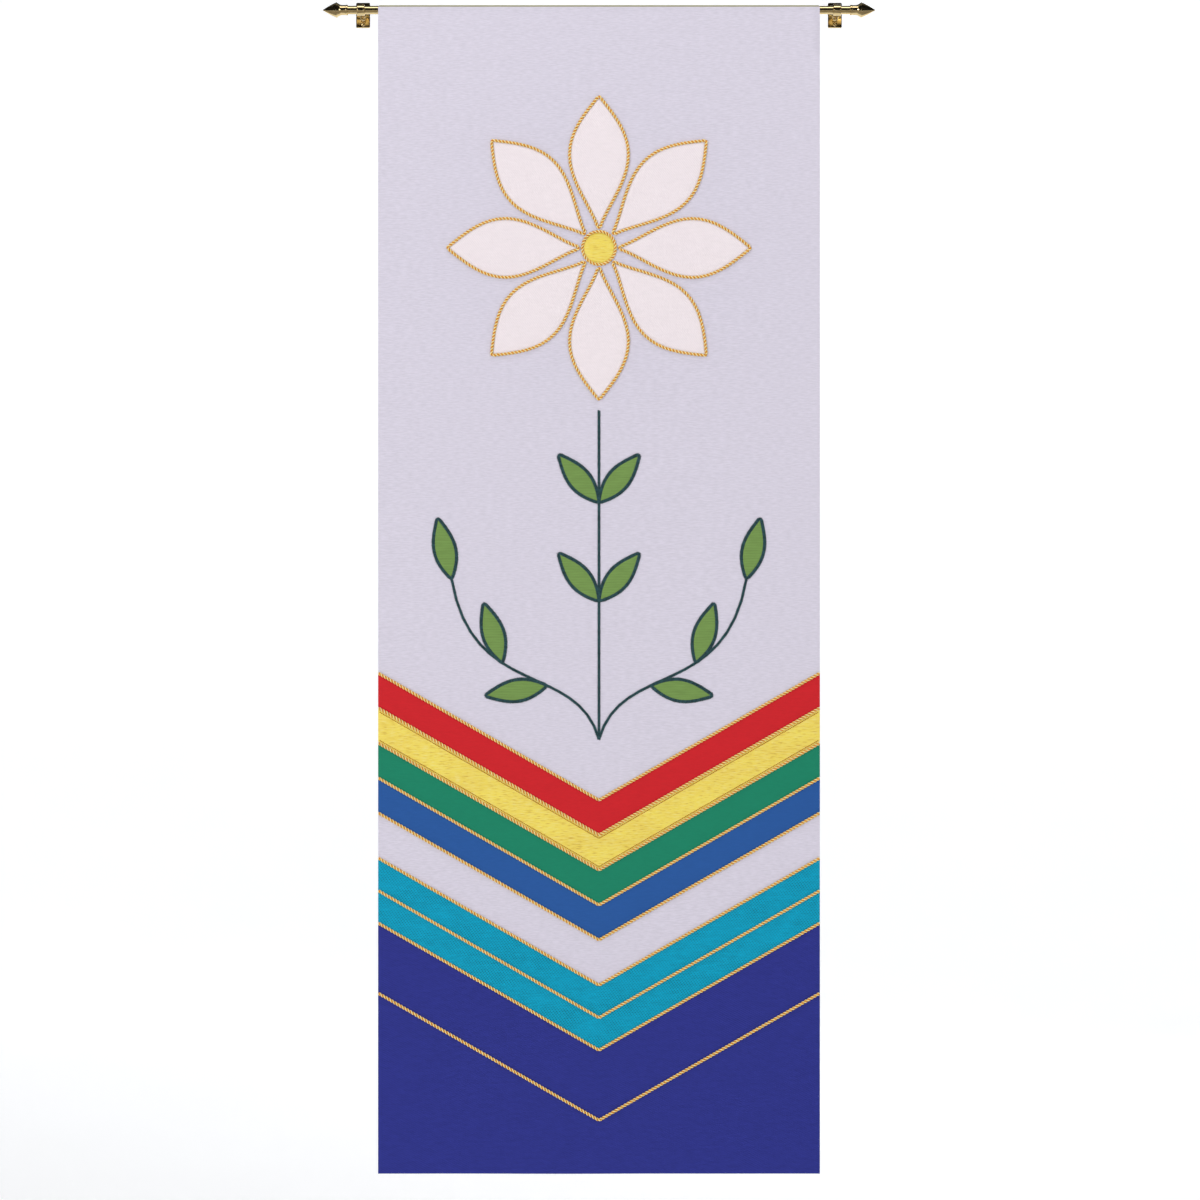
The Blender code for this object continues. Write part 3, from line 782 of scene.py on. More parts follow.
def cloth_patch(name, rows, slot, columns=5, lift=0.00005):
    """A thin sewn-on cloth, drawn down along its edges. Each row has a left and a right edge point."""
    flat = []
    for left, right in rows:
        width = (right - left).length
        squeeze = min(1.0, 0.4 * width / EDGE_STEPS[-1])
        steps = [step * squeeze for step in EDGE_STEPS]
        inner = np.linspace(steps[-1], width - steps[-1], columns + 1)[1:-1]
        at = steps + list(inner) + [width - step for step in reversed(steps)]
        along = (right - left).normalized() if width > 1e-9 else Vector((1, 0))
        flat.append([tuple(left + along * distance) for distance in at])
    flat = np.array(flat)
    gap = edge_distance(flat.reshape(-1, 2), rows_outline(rows)).reshape(flat.shape[:2])
    rise = np.clip(gap / EDGE_STEPS[-1], 0, 1)
    rise = EDGE_SHARE + (1 - EDGE_SHARE) * rise * (2 - rise)
    front = np.stack([flat[..., 0], -lift - PATCH_THICKNESS * rise, flat[..., 1]], axis=-1)
    back = np.stack([flat[..., 0], np.full_like(rise, -lift), flat[..., 1]], axis=-1)
    mesh = grid_solid(name, front, back)
    lay_on_cloth(mesh)
    return object_from(name, mesh, slot)


def outline_area(outline):
    after = outline[1:] + outline[:1]
    return abs(sum(a.x * b.y - b.x * a.y for a, b in zip(outline, after))) / 2


def turned(name, profile, steps, matrix, sharp_degrees=35):
    """A body turned about Z from (radius, height) points that start and end on the axis."""
    shape = bmesh.new()
    rings = []
    for radius, height in profile:
        if radius == 0:
            rings.append([shape.verts.new((0, 0, height))])
            continue
        turns = [math.tau * step / steps for step in range(steps)]
        rings.append([shape.verts.new((radius * math.cos(a), radius * math.sin(a), height)) for a in turns])
    for lower, upper in zip(rings, rings[1:]):
        for step in range(steps):
            corners = [
                lower[step % len(lower)],
                lower[(step + 1) % len(lower)],
                upper[(step + 1) % len(upper)],
                upper[step % len(upper)],
            ]
            shape.faces.new(list(dict.fromkeys(corners)))
    shape.transform(matrix)
    bmesh.ops.recalc_face_normals(shape, faces=shape.faces)
    mesh = bpy.data.meshes.new(name)
    shape.to_mesh(mesh)
    shape.free()
    return smooth(mesh, sharp_degrees)


def joined(name, meshes, slot):
    """Several meshes in one object."""
    shape = bmesh.new()
    for mesh in meshes:
        shape.from_mesh(mesh)
        bpy.data.meshes.remove(mesh)
    result = bpy.data.meshes.new(name)
    shape.to_mesh(result)
    shape.free()
    return object_from(name, result, slot)


def rounded(points, radius, steps=3):
    """A turned profile whose corners are rounded, apart from its first and last."""
    result = [points[0]]
    for before, here, after in zip(points, points[1:], points[2:]):
        here, before, after = Vector(here), Vector(before), Vector(after)
        reach_in = min(radius, (here - before).length * 0.45)
        reach_out = min(radius, (after - here).length * 0.45)
        start = here + (before - here).normalized() * reach_in
        end = here + (after - here).normalized() * reach_out
        for step in range(steps + 1):
            share = step / steps
            point = start * (1 - share) ** 2 + here * 2 * share * (1 - share) + end * share**2
            result.append(tuple(point))
    result.append(points[-1])
    return result


# Geometry Nodes that follow a path over the cloth


def new_tree(name, inputs):
    """A tree with a geometry socket on both sides and the named inputs, each with its socket type."""
    tree = bpy.data.node_groups.new(name, "GeometryNodeTree")
    tree.interface.new_socket("Geometry", in_out="INPUT", socket_type="NodeSocketGeometry")
    tree.interface.new_socket("Geometry", in_out="OUTPUT", socket_type="NodeSocketGeometry")
    for label, kind in inputs:
        tree.interface.new_socket(label, in_out="INPUT", socket_type=f"NodeSocket{kind}")
    group = add_node(tree, "NodeGroupInput")
    return tree, group.outputs


def end_tree(tree, geometry, material):
    """Makes instances real, sets the material and ends the tree."""
    real = add_node(tree, "GeometryNodeRealizeInstances", {"Geometry": geometry})
    soft = add_node(tree, "GeometryNodeSetShadeSmooth", {"Geometry": real.outputs[0]})
    painted = add_node(
        tree, "GeometryNodeSetMaterial", {"Geometry": soft.outputs[0], "Material": material}
    )
    add_node(tree, "NodeGroupOutput", {"Geometry": painted.outputs[0]})
    return tree


def sum_of(tree, operation, *values):
    return add_node(
        tree, "ShaderNodeMath", dict(enumerate(values)), operation=operation
    ).outputs[0]


def keep_number(tree, geometry, label, value):
    """Stores a number on each point under a name that a material reads."""
    return add_node(
        tree,
        "GeometryNodeStoreNamedAttribute",
        {"Geometry": geometry, "Name": label, "Value": value},
        data_type="FLOAT",
        domain="POINT",
    ).outputs[0]


def twisted_cord_tree():
    """Two strands that turn round each other along a path, pressed flat against the cloth."""
    tree, given = new_tree(
        "twisted cord",
        (("Width", "Float"), ("Height", "Float"), ("Turn", "Float"), ("Steps", "Int"), ("Material", "Material")),
    )
    curve = add_node(tree, "GeometryNodeMeshToCurve", {"Mesh": given["Geometry"]}).outputs[0]
    step = sum_of(tree, "DIVIDE", given["Turn"], given["Steps"])
    curve = add_node(
        tree, "GeometryNodeResampleCurve", {"Curve": curve, "Length": step}, mode="LENGTH"
    ).outputs[0]
    run = add_node(tree, "GeometryNodeSplineParameter")
    length = add_node(tree, "GeometryNodeSplineLength").outputs["Length"]
    turns = sum_of(tree, "ROUND", sum_of(tree, "DIVIDE", length, given["Turn"]))
    tilt = sum_of(tree, "MULTIPLY", sum_of(tree, "MULTIPLY", run.outputs["Factor"], turns), math.tau)
    curve = keep_number(tree, curve, "along", run.outputs["Length"])
    curve = add_node(tree, "GeometryNodeSetCurveTilt", {"Curve": curve, "Tilt": tilt}).outputs[0]

    quarter = sum_of(tree, "DIVIDE", given["Width"], 4.0)
    circle = add_node(tree, "GeometryNodeCurvePrimitiveCircle", {"Resolution": 8, "Radius": quarter}).outputs[0]
    circle = keep_number(tree, circle, "around", run.outputs["Factor"])
    inward = add_node(tree, "ShaderNodeCombineXYZ", {"X": sum_of(tree, "MULTIPLY", quarter, -1.0)}).outputs[0]
    strand = add_node(
        tree,
        "GeometryNodeTransform",
        {"Geometry": circle, "Translation": inward, "Scale": (1.0, 1.2, 1.0)},
    ).outputs[0]
    other = add_node(
        tree, "GeometryNodeTransform", {"Geometry": strand, "Rotation": (0, 0, math.pi)}
    ).outputs[0]
    both = add_node(tree, "GeometryNodeJoinGeometry")
    tree.links.new(strand, both.inputs[0])
    tree.links.new(other, both.inputs[0])
    spot = add_node(tree, "GeometryNodeInputPosition").outputs[0]
    # Crest: how far each point of the section lies from the cord's axis; the gilt-cord material places its painted
    # highlight and painted shade by it
    reach = add_node(tree, "ShaderNodeVectorMath", {0: spot}, operation="LENGTH").outputs["Value"]
    crest = sum_of(tree, "DIVIDE", reach, sum_of(tree, "DIVIDE", given["Width"], 2.0))
    profile = keep_number(tree, both.outputs[0], "crest", crest)

    swept = add_node(
        tree, "GeometryNodeCurveToMesh", {"Curve": curve, "Profile Curve": profile, "Fill Caps": True}
    ).outputs[0]
    pressed = add_node(
        tree,
        "ShaderNodeCombineXYZ",
        {"X": 1.0, "Y": sum_of(tree, "DIVIDE", given["Height"], given["Width"]), "Z": 1.0},
    ).outputs[0]
    flat = add_node(tree, "ShaderNodeVectorMath", {0: spot, 1: pressed}, operation="MULTIPLY").outputs[0]
    cord = add_node(tree, "GeometryNodeSetPosition", {"Geometry": swept, "Position": flat}).outputs[0]
    return end_tree(tree, cord, given["Material"])


def stitches_tree():
    """Threads laid along a path at a spacing, each turned from it, over an optional padding."""
    tree, given = new_tree(
        "stitches",
        (
            ("Spacing", "Float"),
            ("Length", "Float"),
            ("Thickness", "Float"),
            ("Height", "Float"),
            ("Turn", "Float"),
            ("Padding Width", "Float"),
            ("Padding Height", "Float"),
            ("Seed", "Int"),
            ("Material", "Material"),
        ),
    )
    curve = add_node(tree, "GeometryNodeMeshToCurve", {"Mesh": given["Geometry"]}).outputs[0]
    dots = add_node(
        tree, "GeometryNodeCurveToPoints", {"Curve": curve, "Length": given["Spacing"]}, mode="LENGTH"
    )
    facing = add_node(
        tree,
        "FunctionNodeAxesToRotation",
        {"Primary Axis": (0.0, -1.0, 0.0), "Secondary Axis": dots.outputs["Tangent"]},
        primary_axis="Y",
        secondary_axis="X",
    ).outputs[0]
    swing = add_node(
        tree,
        "FunctionNodeRandomValue",
        {2: -0.12, 3: 0.12, "Seed": given["Seed"]},
        data_type="FLOAT",
    ).outputs[1]
    turn = add_node(
        tree, "ShaderNodeCombineXYZ", {"Y": sum_of(tree, "ADD", given["Turn"], swing)}
    ).outputs[0]
    laid = add_node(
        tree,
        "FunctionNodeRotateRotation",
        {"Rotation": facing, "Rotate By": turn},
        rotation_space="LOCAL",
    ).outputs[0]
    grain = add_node(
        tree, "GeometryNodeMeshUVSphere", {"Segments": 5, "Rings": 4, "Radius": 0.5}
    ).outputs[0]
    size = add_node(
        tree,
        "ShaderNodeCombineXYZ",
        {"X": given["Thickness"], "Y": given["Height"], "Z": given["Length"]},
    ).outputs[0]
    shaped = add_node(tree, "GeometryNodeTransform", {"Geometry": grain, "Scale": size}).outputs[0]
    lying = add_node(
        tree, "GeometryNodeTransform", {"Geometry": shaped, "Rotation": (0, math.radians(90), 0)}
    ).outputs[0]
    length = add_node(
        tree,
        "FunctionNodeRandomValue",
        {2: 0.88, 3: 1.12, "Seed": sum_of(tree, "ADD", given["Seed"], 1)},
        data_type="FLOAT",
    ).outputs[1]
    stretch = add_node(tree, "ShaderNodeCombineXYZ", {"X": length, "Y": 1.0, "Z": 1.0}).outputs[0]
    sewn = add_node(
        tree,
        "GeometryNodeInstanceOnPoints",
        {"Points": dots.outputs[0], "Instance": lying, "Rotation": laid, "Scale": stretch},
    ).outputs[0]
    pick = add_node(
        tree,
        "FunctionNodeRandomValue",
        {2: 0.0, 3: 1.0, "Seed": sum_of(tree, "ADD", given["Seed"], 2)},
        data_type="FLOAT",
    ).outputs[1]
    sewn = add_node(
        tree,
        "GeometryNodeStoreNamedAttribute",
        {"Geometry": sewn, "Name": "shade", "Value": pick},
        data_type="FLOAT",
        domain="INSTANCE",
    ).outputs[0]
    padding_run = add_node(
        tree, "GeometryNodeResampleCurve", {"Curve": curve, "Length": 0.003}, mode="LENGTH"
    ).outputs[0]
    round_pad = add_node(
        tree,
        "GeometryNodeCurvePrimitiveCircle",
        {"Resolution": 8, "Radius": sum_of(tree, "DIVIDE", given["Padding Width"], 2.0)},
    ).outputs[0]
    padding = add_node(
        tree, "GeometryNodeCurveToMesh", {"Curve": padding_run, "Profile Curve": round_pad, "Fill Caps": True}
    ).outputs[0]
    pressed = add_node(
        tree,
        "ShaderNodeCombineXYZ",
        {"X": 1.0, "Y": sum_of(tree, "DIVIDE", given["Padding Height"], given["Padding Width"]), "Z": 1.0},
    ).outputs[0]
    spot = add_node(tree, "GeometryNodeInputPosition").outputs[0]
    flat = add_node(tree, "ShaderNodeVectorMath", {0: spot, 1: pressed}, operation="MULTIPLY").outputs[0]
    padding = add_node(tree, "GeometryNodeSetPosition", {"Geometry": padding, "Position": flat}).outputs[0]
    wanted = add_node(
        tree,
        "GeometryNodeSwitch",
        {"Switch": sum_of(tree, "GREATER_THAN", given["Padding Width"], 0.0), "True": padding},
        input_type="GEOMETRY",
    ).outputs[0]
    both = add_node(tree, "GeometryNodeJoinGeometry")
    tree.links.new(sewn, both.inputs[0])
    tree.links.new(wanted, both.inputs[0])
    return end_tree(tree, both.outputs[0], given["Material"])


made_trees = {}


def tree_of(builder):
    if builder not in made_trees:
        made_trees[builder] = builder()
    return made_trees[builder]


def follow_paths(name, paths, builder, finish, values):
    """Runs a tree along paths, each a list of (x, z) points and whether it closes, and keeps the plain mesh."""
    points, edges = [], []
    for path, closed in paths:
        first = len(points)
        points += [(point.x, 0.0, point.y) for point in path]
        edges += [(first + index, first + index + 1) for index in range(len(path) - 1)]
        if closed:
            edges.append((len(points) - 1, first))
    route = bpy.data.meshes.new(name)
    route.from_pydata(points, edges, [])
    holder = bpy.data.objects.new(name, route)
    bpy.context.scene.collection.objects.link(holder)
    modifier = holder.modifiers.new("follow the path", "NODES")
    modifier.node_group = tree_of(builder)
    sockets = {
        item.name: item.identifier
        for item in modifier.node_group.interface.items_tree
        if item.in_out == "INPUT"
    }
    for label, value in {**values, "Material": finish_of(finish)}.items():
        modifier[sockets[label]] = value
    bpy.context.view_layer.update()
    graph = bpy.context.evaluated_depsgraph_get()
    mesh = bpy.data.meshes.new_from_object(holder.evaluated_get(graph))
    mesh.name = name
    bpy.data.objects.remove(holder)
    bpy.data.meshes.remove(route)
    if not mesh.polygons:
        raise RuntimeError(f"{name}: the tree made no faces")
    return mesh


def couched_cord(name, path, closed, lift=0.0):
    values = {
        "Width": sizes().cord_width,
        "Height": sizes().cord_height,
        "Turn": sizes().cord_turn,
        "Steps": 12,
    }
    mesh = follow_paths(name, [(path, closed)], twisted_cord_tree, "gold_cord", values)
    lay_on_cloth(mesh, lift + sizes().cord_height / 2 - 0.0001)
    return object_from(name, mesh, "gold_cord")


def stitch_mesh(name, paths, finish, surface_y, **values):
    """Stitches along each path on the front or the back of the cloth. Values not given are those of a hem."""
    settings = {
        "Spacing": 0.0055,
        "Length": 0.003,
        "Thickness": 0.0006,
        "Height": 0.0005,
        "Turn": 0.0,
        "Padding Width": 0.0,
        "Padding Height": 0.0,
        "Seed": 3,
    }
    labels = {label.replace("_", " ").title(): value for label, value in values.items()}
    mesh = follow_paths(name, paths, stitches_tree, finish, {**settings, **labels})
    lay_on_cloth(mesh, 0.0, surface_y)
    return mesh


def stitching(name, paths, finish, surface_y, **values):
    return object_from(name, stitch_mesh(name, paths, finish, surface_y, **values), finish)


def ready(obj, *nodes, slot=None):
    """Sets a piece on the banner's one body, in place of the nodes that it stands for."""
    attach(obj, BODY)
    if nodes:
        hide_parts(*nodes)
    return obj


# Operators, one for each piece or group of like pieces


class BANNER_OT_ground_cloth(bpy.types.Operator):
    """The lavender ground cloth with its hems turned to the back"""

    bl_idname = "banner.ground_cloth"
    bl_label = "Ground cloth"

    def execute(self, context):
        roll = (0.0, 0.00012, 0.0004)
        step = 0.0005
        inner = PANEL_HALF - HEM_WIDTH
        hem_top = SLEEVE_FOOT - HEM_WIDTH
        half = [0.01 * index for index in range(1, 28)] + [inner - step, inner, 0.29]
        half += [PANEL_HALF - r for r in reversed(roll)]
        xs = np.array([-x for x in reversed(half)] + [0.0] + half)
        heights = [PANEL_FOOT + r for r in roll] + [PANEL_FOOT + 0.01]
        heights += [PANEL_FOOT + HEM_WIDTH, PANEL_FOOT + HEM_WIDTH + step]
        heights += list(np.linspace(PANEL_FOOT + 0.03, hem_top - 0.01, 148))
        heights += [hem_top, hem_top + step] + [hem_top + 0.01 * index for index in range(1, 6)]
        heights += [PANEL_TOP - r for r in reversed(roll)]
        zs = np.array(heights)
        x, z = np.meshgrid(xs, zs)
        hemmed = (z < hem_top + step / 2) & (
            (np.abs(x) > inner - step / 2) | (z < PANEL_FOOT + HEM_WIDTH + step / 2)
        )
        edge = np.minimum(PANEL_HALF - np.abs(x), np.minimum(z - PANEL_FOOT, PANEL_TOP - z))
        depth = PANEL_THICKNESS + HEM_THICKNESS * hemmed
        curl = np.clip(1 - edge / roll[-1], 0, 1) ** 2 * depth * 0.45
        front = FACE_Y + curl + hang(x, z)
        back = FACE_Y + depth - curl + hang(x, z)
        mesh = grid_solid(
            "ground_cloth", np.stack([x, front, z], axis=-1), np.stack([x, back, z], axis=-1)
        )
        cloth = ready(object_from("ground_cloth", mesh, "lavender_cloth"), "ground_panel", slot="lavender_cloth")
        seam_y = FACE_Y + PANEL_THICKNESS + HEM_THICKNESS
        inset = 0.0015
        low = PANEL_FOOT + HEM_WIDTH - inset
        sides = [
            ([Vector((s * (inner + inset), low)), Vector((s * (inner + inset), hem_top))], False)
            for s in (-1, 1)
        ]
        foot = ([Vector((-inner, low)), Vector((inner, low))], False)
        seam = stitching(
            "hem_stitches", [*sides, foot], "hem thread", seam_y, spacing=sizes().hem_stitch_spacing
        )
        ready(seam)
        return {"FINISHED"}


class BANNER_OT_rod_sleeve(bpy.types.Operator):
    """The lining cloth sewn behind the banner's top as a tube for the rod"""

    bl_idname = "banner.rod_sleeve"
    bl_label = "Rod sleeve"

    def execute(self, context):
        radius = ROD_RADIUS + 0.0002 + SLEEVE_THICKNESS / 2
        seam = Vector((FACE_Y + PANEL_THICKNESS + SLEEVE_THICKNESS - ROD_Y, SLEEVE_FOOT))
        leaves = math.atan2(seam.y, seam.x) + math.acos(radius / seam.length)
        arc_start = math.pi + 0.12
        line = [seam.lerp(Vector((-radius - 0.0003, 0)), share) for share in np.linspace(0, 0.85, 8)]
        for angle in np.linspace(arc_start, leaves, 33):
            line.append(Vector((radius * math.cos(angle), radius * math.sin(angle))))
        back_leg = [line[-1].lerp(seam, share) for share in np.linspace(0, 1, 10)[1:]]
        line += back_leg
        count = len(line)
        stations = np.linspace(-SLEEVE_HALF, SLEEVE_HALF, 61)
        walls = []
        for side in (1, -1):
            wall = []
            for index, point in enumerate(line):
                ahead = line[min(index + 1, count - 1)] - line[max(index - 1, 0)]
                out = Vector((-ahead.y, ahead.x)).normalized()
                wall.append(point + out * side * SLEEVE_THICKNESS / 2)
            walls.append(np.array([tuple(p) for p in wall]))
        slack = np.zeros(count)
        legs = len(back_leg)
        slack[count - legs :] = np.sin(np.linspace(0, math.pi, legs + 1)[1:])
        grids = []
        for wall in walls:
            grid = np.zeros((len(stations), count, 3))
            for row, x in enumerate(stations):
                pucker = 0.0005 * (math.sin(61 * x + 0.5) + 0.6 * math.sin(143 * x))
                grid[row, :, 0] = x
                grid[row, :, 1] = ROD_Y + wall[:, 0] + slack * (0.0006 + pucker)
                grid[row, :, 2] = wall[:, 1]
            grids.append(grid)
        mesh = grid_solid("sleeve_cloth", *grids)
        sleeve = ready(object_from("sleeve_cloth", mesh, "khaki_lining"), "rod_sleeve", slot="khaki_lining")
        seam_path = [Vector((side * (SLEEVE_HALF - 0.003), SLEEVE_FOOT + 0.003)) for side in (-1, 1)]
        stitches = stitching(
            "sleeve_seam",
            [(seam_path, False)],
            "lining thread",
            ROD_Y + seam.x + SLEEVE_THICKNESS + 0.0011,
            spacing=sizes().hem_stitch_spacing,
        )
        ready(stitches)
        return {"FINISHED"}


class BANNER_OT_rosette(bpy.types.Operator):
    """Eight white petals round a gold centre, each edged with couched cord"""

    bl_idname = "banner.rosette"
    bl_label = "Rosette"

    def execute(self, context):
        grow = SEAT + TUCKED_UNDER
        plain = petal_rows(grow)
        edge = petal_cord_path()
        area = outline_area(rows_outline(plain))
        middle = (0, ROSETTE_Z)
        for index in range(PETALS):
            turn = math.tau * index / PETALS
            number = index + 1
            cord = couched_cord(f"couched_petal_{number}", turn_and_place(edge, turn, middle), True)
            ready(cord, f"petal_cord_{number}", slot="gold_cord")
            cloth = cloth_patch(f"petal_cloth_{number}", place_rows(plain, turn, middle), "white_twill", 7)
            ready(cloth, f"petal_{number}", slot="white_twill")
        rows = place_rows(disc_rows(CENTRE_RADIUS + grow, 16), 0, middle)
        ring = couched_cord("couched_centre", centre_cord_path(), True)
        ready(ring, "centre_cord", slot="gold_cord")
        disc = cloth_patch("centre_cloth", rows, "gold_lame")
        ready(disc, "rosette_centre", slot="gold_lame")
        outline_area(rows_outline(rows))
        return {"FINISHED"}


class BANNER_OT_leaves(bpy.types.Operator):
    """Ten green leaves, and the satin stitch of their edges, the stem and the branches"""

    bl_idname = "banner.leaves"
    bl_label = "Leaves and satin stitch"

    def execute(self, context):
        shape = (LEAF_LENGTH, LEAF_WIDTH, LEAF_FULLEST, 20)
        edge = offset_outline(rows_outline(oval_rows(*shape)), SEAT + SATIN_WIDTH / 2)
        plain = oval_rows(*shape, grow=TUCKED_UNDER)
        branch = branch_path()
        stems = [([Vector((0, STEM_FOOT_Z)), Vector((0, STEM_TOP_Z))], False)]
        stems += [([Vector((side * p.x, p.y)) for p in branch], False) for side in (-1, 1)]
        leaves, edges = [], []
        for number, (place, turn) in enumerate(leaf_places(), 1):
            leaf = cloth_patch(f"leaf_cloth_{number}", place_rows(plain, turn, place), "leaf_green_cloth")
            leaves.append(ready(leaf, f"leaf_{number}", slot="leaf_green_cloth"))
            edges.append((turn_and_place(edge, turn, place), True))
        rows = []
        for part, runs, width, seed in (
            ("stems", stems, SATIN_WIDTH + 0.0006, 11),
            ("edges", edges, SATIN_WIDTH + 0.0016, 12),
        ):
            rows.append(
                stitch_mesh(
                    part,
                    runs,
                    "dark_green_satin",
                    FACE_Y - 0.0005,
                    spacing=sizes().satin_spacing,
                    length=width,
                    thickness=0.0013,
                    height=0.0018,
                    turn=math.radians(74),
                    padding_width=width * 0.7,
                    padding_height=0.0012,
                    seed=seed,
                )
            )
        satin = joined("satin_outline", rows, "dark_green_satin")
        ready(satin, "stem_outline", slot="dark_green_satin")
        area = outline_area(rows_outline(plain))
        return {"FINISHED"}


class BANNER_OT_bands(bpy.types.Operator):
    """The four pointed bands, the teal chevron and the royal blue foot"""

    bl_idname = "banner.bands"
    bl_label = "Bands and foot"

    def execute(self, context):
        for node, slot, upper, lower in BANDS:
            rows = band_rows(upper, lower)
            cloth = ready(cloth_patch(f"{node}_cloth", rows, slot), node, slot=slot)
            area = outline_area(rows_outline(rows))
        rows = band_rows(FIELD_DEPTH, None)
        field = ready(cloth_patch("field_royal_cloth", rows, "royal_cloth", 14), "field_royal", slot="royal_cloth")
        outline_area(rows_outline(rows))
        return {"FINISHED"}


class BANNER_OT_band_cords(bpy.types.Operator):
    """The couched cords that run from edge to edge, and the brown stitches beside the gold band"""

    bl_idname = "banner.band_cords"
    bl_label = "Edge-to-edge cords"

    def execute(self, context):
        for node, depth, on_cloth in V_CORDS:
            lift = PATCH_THICKNESS if on_cloth else 0.0
            cord = couched_cord(node.replace("cord", "couched"), v_path(depth, PANEL_HALF - 0.0004), False, lift)
            ready(cord, node, slot="gold_cord")
        _, _, upper, lower = BANDS[1]
        inset = (sizes().cord_width / 2 + 0.0018) / math.cos(V_SLOPE)
        lines = [(v_path(depth, PANEL_HALF - 0.003), False) for depth in (upper + inset, lower - inset)]
        row = stitching(
            "gold_band_stitches",
            lines,
            "tacking thread",
            FACE_Y - PATCH_THICKNESS,
            spacing=0.0024,
            length=0.0024,
            thickness=0.0014,
            height=0.0007,
            seed=5,
        )
        ready(row)
        return {"FINISHED"}


class BANNER_OT_back_stitches(bpy.types.Operator):
    """The backs of the stitches that hold the cords, seen on the cloth's back"""

    bl_idname = "banner.back_stitches"
    bl_label = "Stitches on the back"

    def execute(self, context):
        turns = [math.tau * index / PETALS for index in range(PETALS)]
        paths = [(turn_and_place(petal_cord_path(), turn, (0, ROSETTE_Z)), True) for turn in turns]
        paths.append((centre_cord_path(), True))
        paths += [(v_path(depth, PANEL_HALF - HEM_WIDTH), False) for _, depth, _ in V_CORDS]
        back_y = FACE_Y + PANEL_THICKNESS
        cords = stitching(
            "cord_stitch_backs", paths, "tacking thread", back_y, spacing=sizes().cord_turn / 2, length=0.0036
        )
        ready(cords)
        return {"FINISHED"}


def along_x(x, side):
    """Stands a body turned about Z on the rod's axis, pointing outwards to the given side."""
    return Matrix.Translation((x, ROD_Y, 0)) @ Matrix.Rotation(side * math.radians(90), 4, "Y")


def finial_profile():
    """(radius, distance outwards) points from the bottom of the socket round to the tip."""
    bore = ROD_RADIUS + 0.00015
    rim = RIM_DIAMETER / 2
    collar = COLLAR_DIAMETER / 2
    head = HEAD_DIAMETER / 2
    collar_end = RIM_LENGTH + COLLAR_LENGTH
    head_end = collar_end + FLARE_LENGTH
    turned_part = [(0, SOCKET_DEPTH), (bore, SOCKET_DEPTH), (bore, 0), (rim, 0), (rim, RIM_LENGTH)]
    turned_part += [(collar, RIM_LENGTH), (collar, collar_end), (collar + 0.0002, collar_end + 0.001)]
    profile = rounded(turned_part, SOFT_EDGE)
    steps = 12
    for step in range(3, steps + 1):
        share = step / steps
        radius = collar + (head - collar) * share**1.5
        profile.append((radius - (0.0002 if step == steps else 0), collar_end + FLARE_LENGTH * share))
    profile.append((head, head_end + 0.0003))
    for step in range(1, steps):
        share = step / steps
        cone = head + (POINT_DIAMETER / 2 - head) * share
        swell = POINT_SWELL * math.sin(math.pi * share)
        profile.append((cone + swell, head_end + (POINT_LENGTH - POINT_DIAMETER / 2) * share))
    tip = POINT_DIAMETER / 2
    for turn in np.linspace(0.2, math.pi / 2, 5)[:-1]:
        profile.append((tip * math.cos(turn), head_end + POINT_LENGTH - tip + tip * math.sin(turn)))
    profile.append((0, head_end + POINT_LENGTH))
    return profile


class BANNER_OT_rod_and_finials(bpy.types.Operator):
    """The brass rod and its two spear finials"""

    bl_idname = "banner.rod_and_finials"
    bl_label = "Rod and finials"

    def execute(self, context):
        steps = sizes().brass_steps
        ends = [(0, -ROD_HALF), (ROD_RADIUS, -ROD_HALF), (ROD_RADIUS, ROD_HALF), (0, ROD_HALF)]
        rod = turned("brass_rod", rounded(ends, SOFT_EDGE), steps, along_x(0, 1))
        ready(object_from("brass_rod", rod, "polished_brass"), "rod", slot="polished_brass")
        for label, side in (("left", -1), ("right", 1)):
            name = f"spear_finial_{label}"
            mesh = turned(name, finial_profile(), steps, along_x(side * ROD_IN_VIEW / 2, side), 28)
            ready(object_from(name, mesh, "polished_brass"), f"finial_{label}", slot="polished_brass")
        return {"FINISHED"}


def ring_profile():
    """The ring's section, carried round from its bore over the outside and back to the bore."""
    bore = ROD_RADIUS + 0.00015
    outer = RING_DIAMETER / 2
    half = RING_WIDTH / 2
    rim = []
    for turn in np.linspace(0, math.pi / 2, 7):
        radius = outer - RING_ROUNDING * (1 - math.sin(turn))
        rim.append((radius, -half + RING_ROUNDING * (1 - math.cos(turn))))
    return [(bore, -half)] + rim + [(r, -h) for r, h in reversed(rim)] + [(bore, half)]


def ring_mesh(name, steps, matrix):
    """A ring turned from a closed section."""
    section = ring_profile()
    shape = bmesh.new()
    loops = []
    for step in range(steps):
        turn = math.tau * step / steps
        loops.append([shape.verts.new((r * math.cos(turn), r * math.sin(turn), h)) for r, h in section])
    for first, second in zip(loops, loops[1:] + loops[:1]):
        for index in range(len(section)):
            after = (index + 1) % len(section)
            shape.faces.new((first[index], first[after], second[after], second[index]))
    shape.transform(matrix)
    bmesh.ops.recalc_face_normals(shape, faces=shape.faces)
    mesh = bpy.data.meshes.new(name)
    shape.to_mesh(mesh)
    shape.free()
    return smooth(mesh, 40)


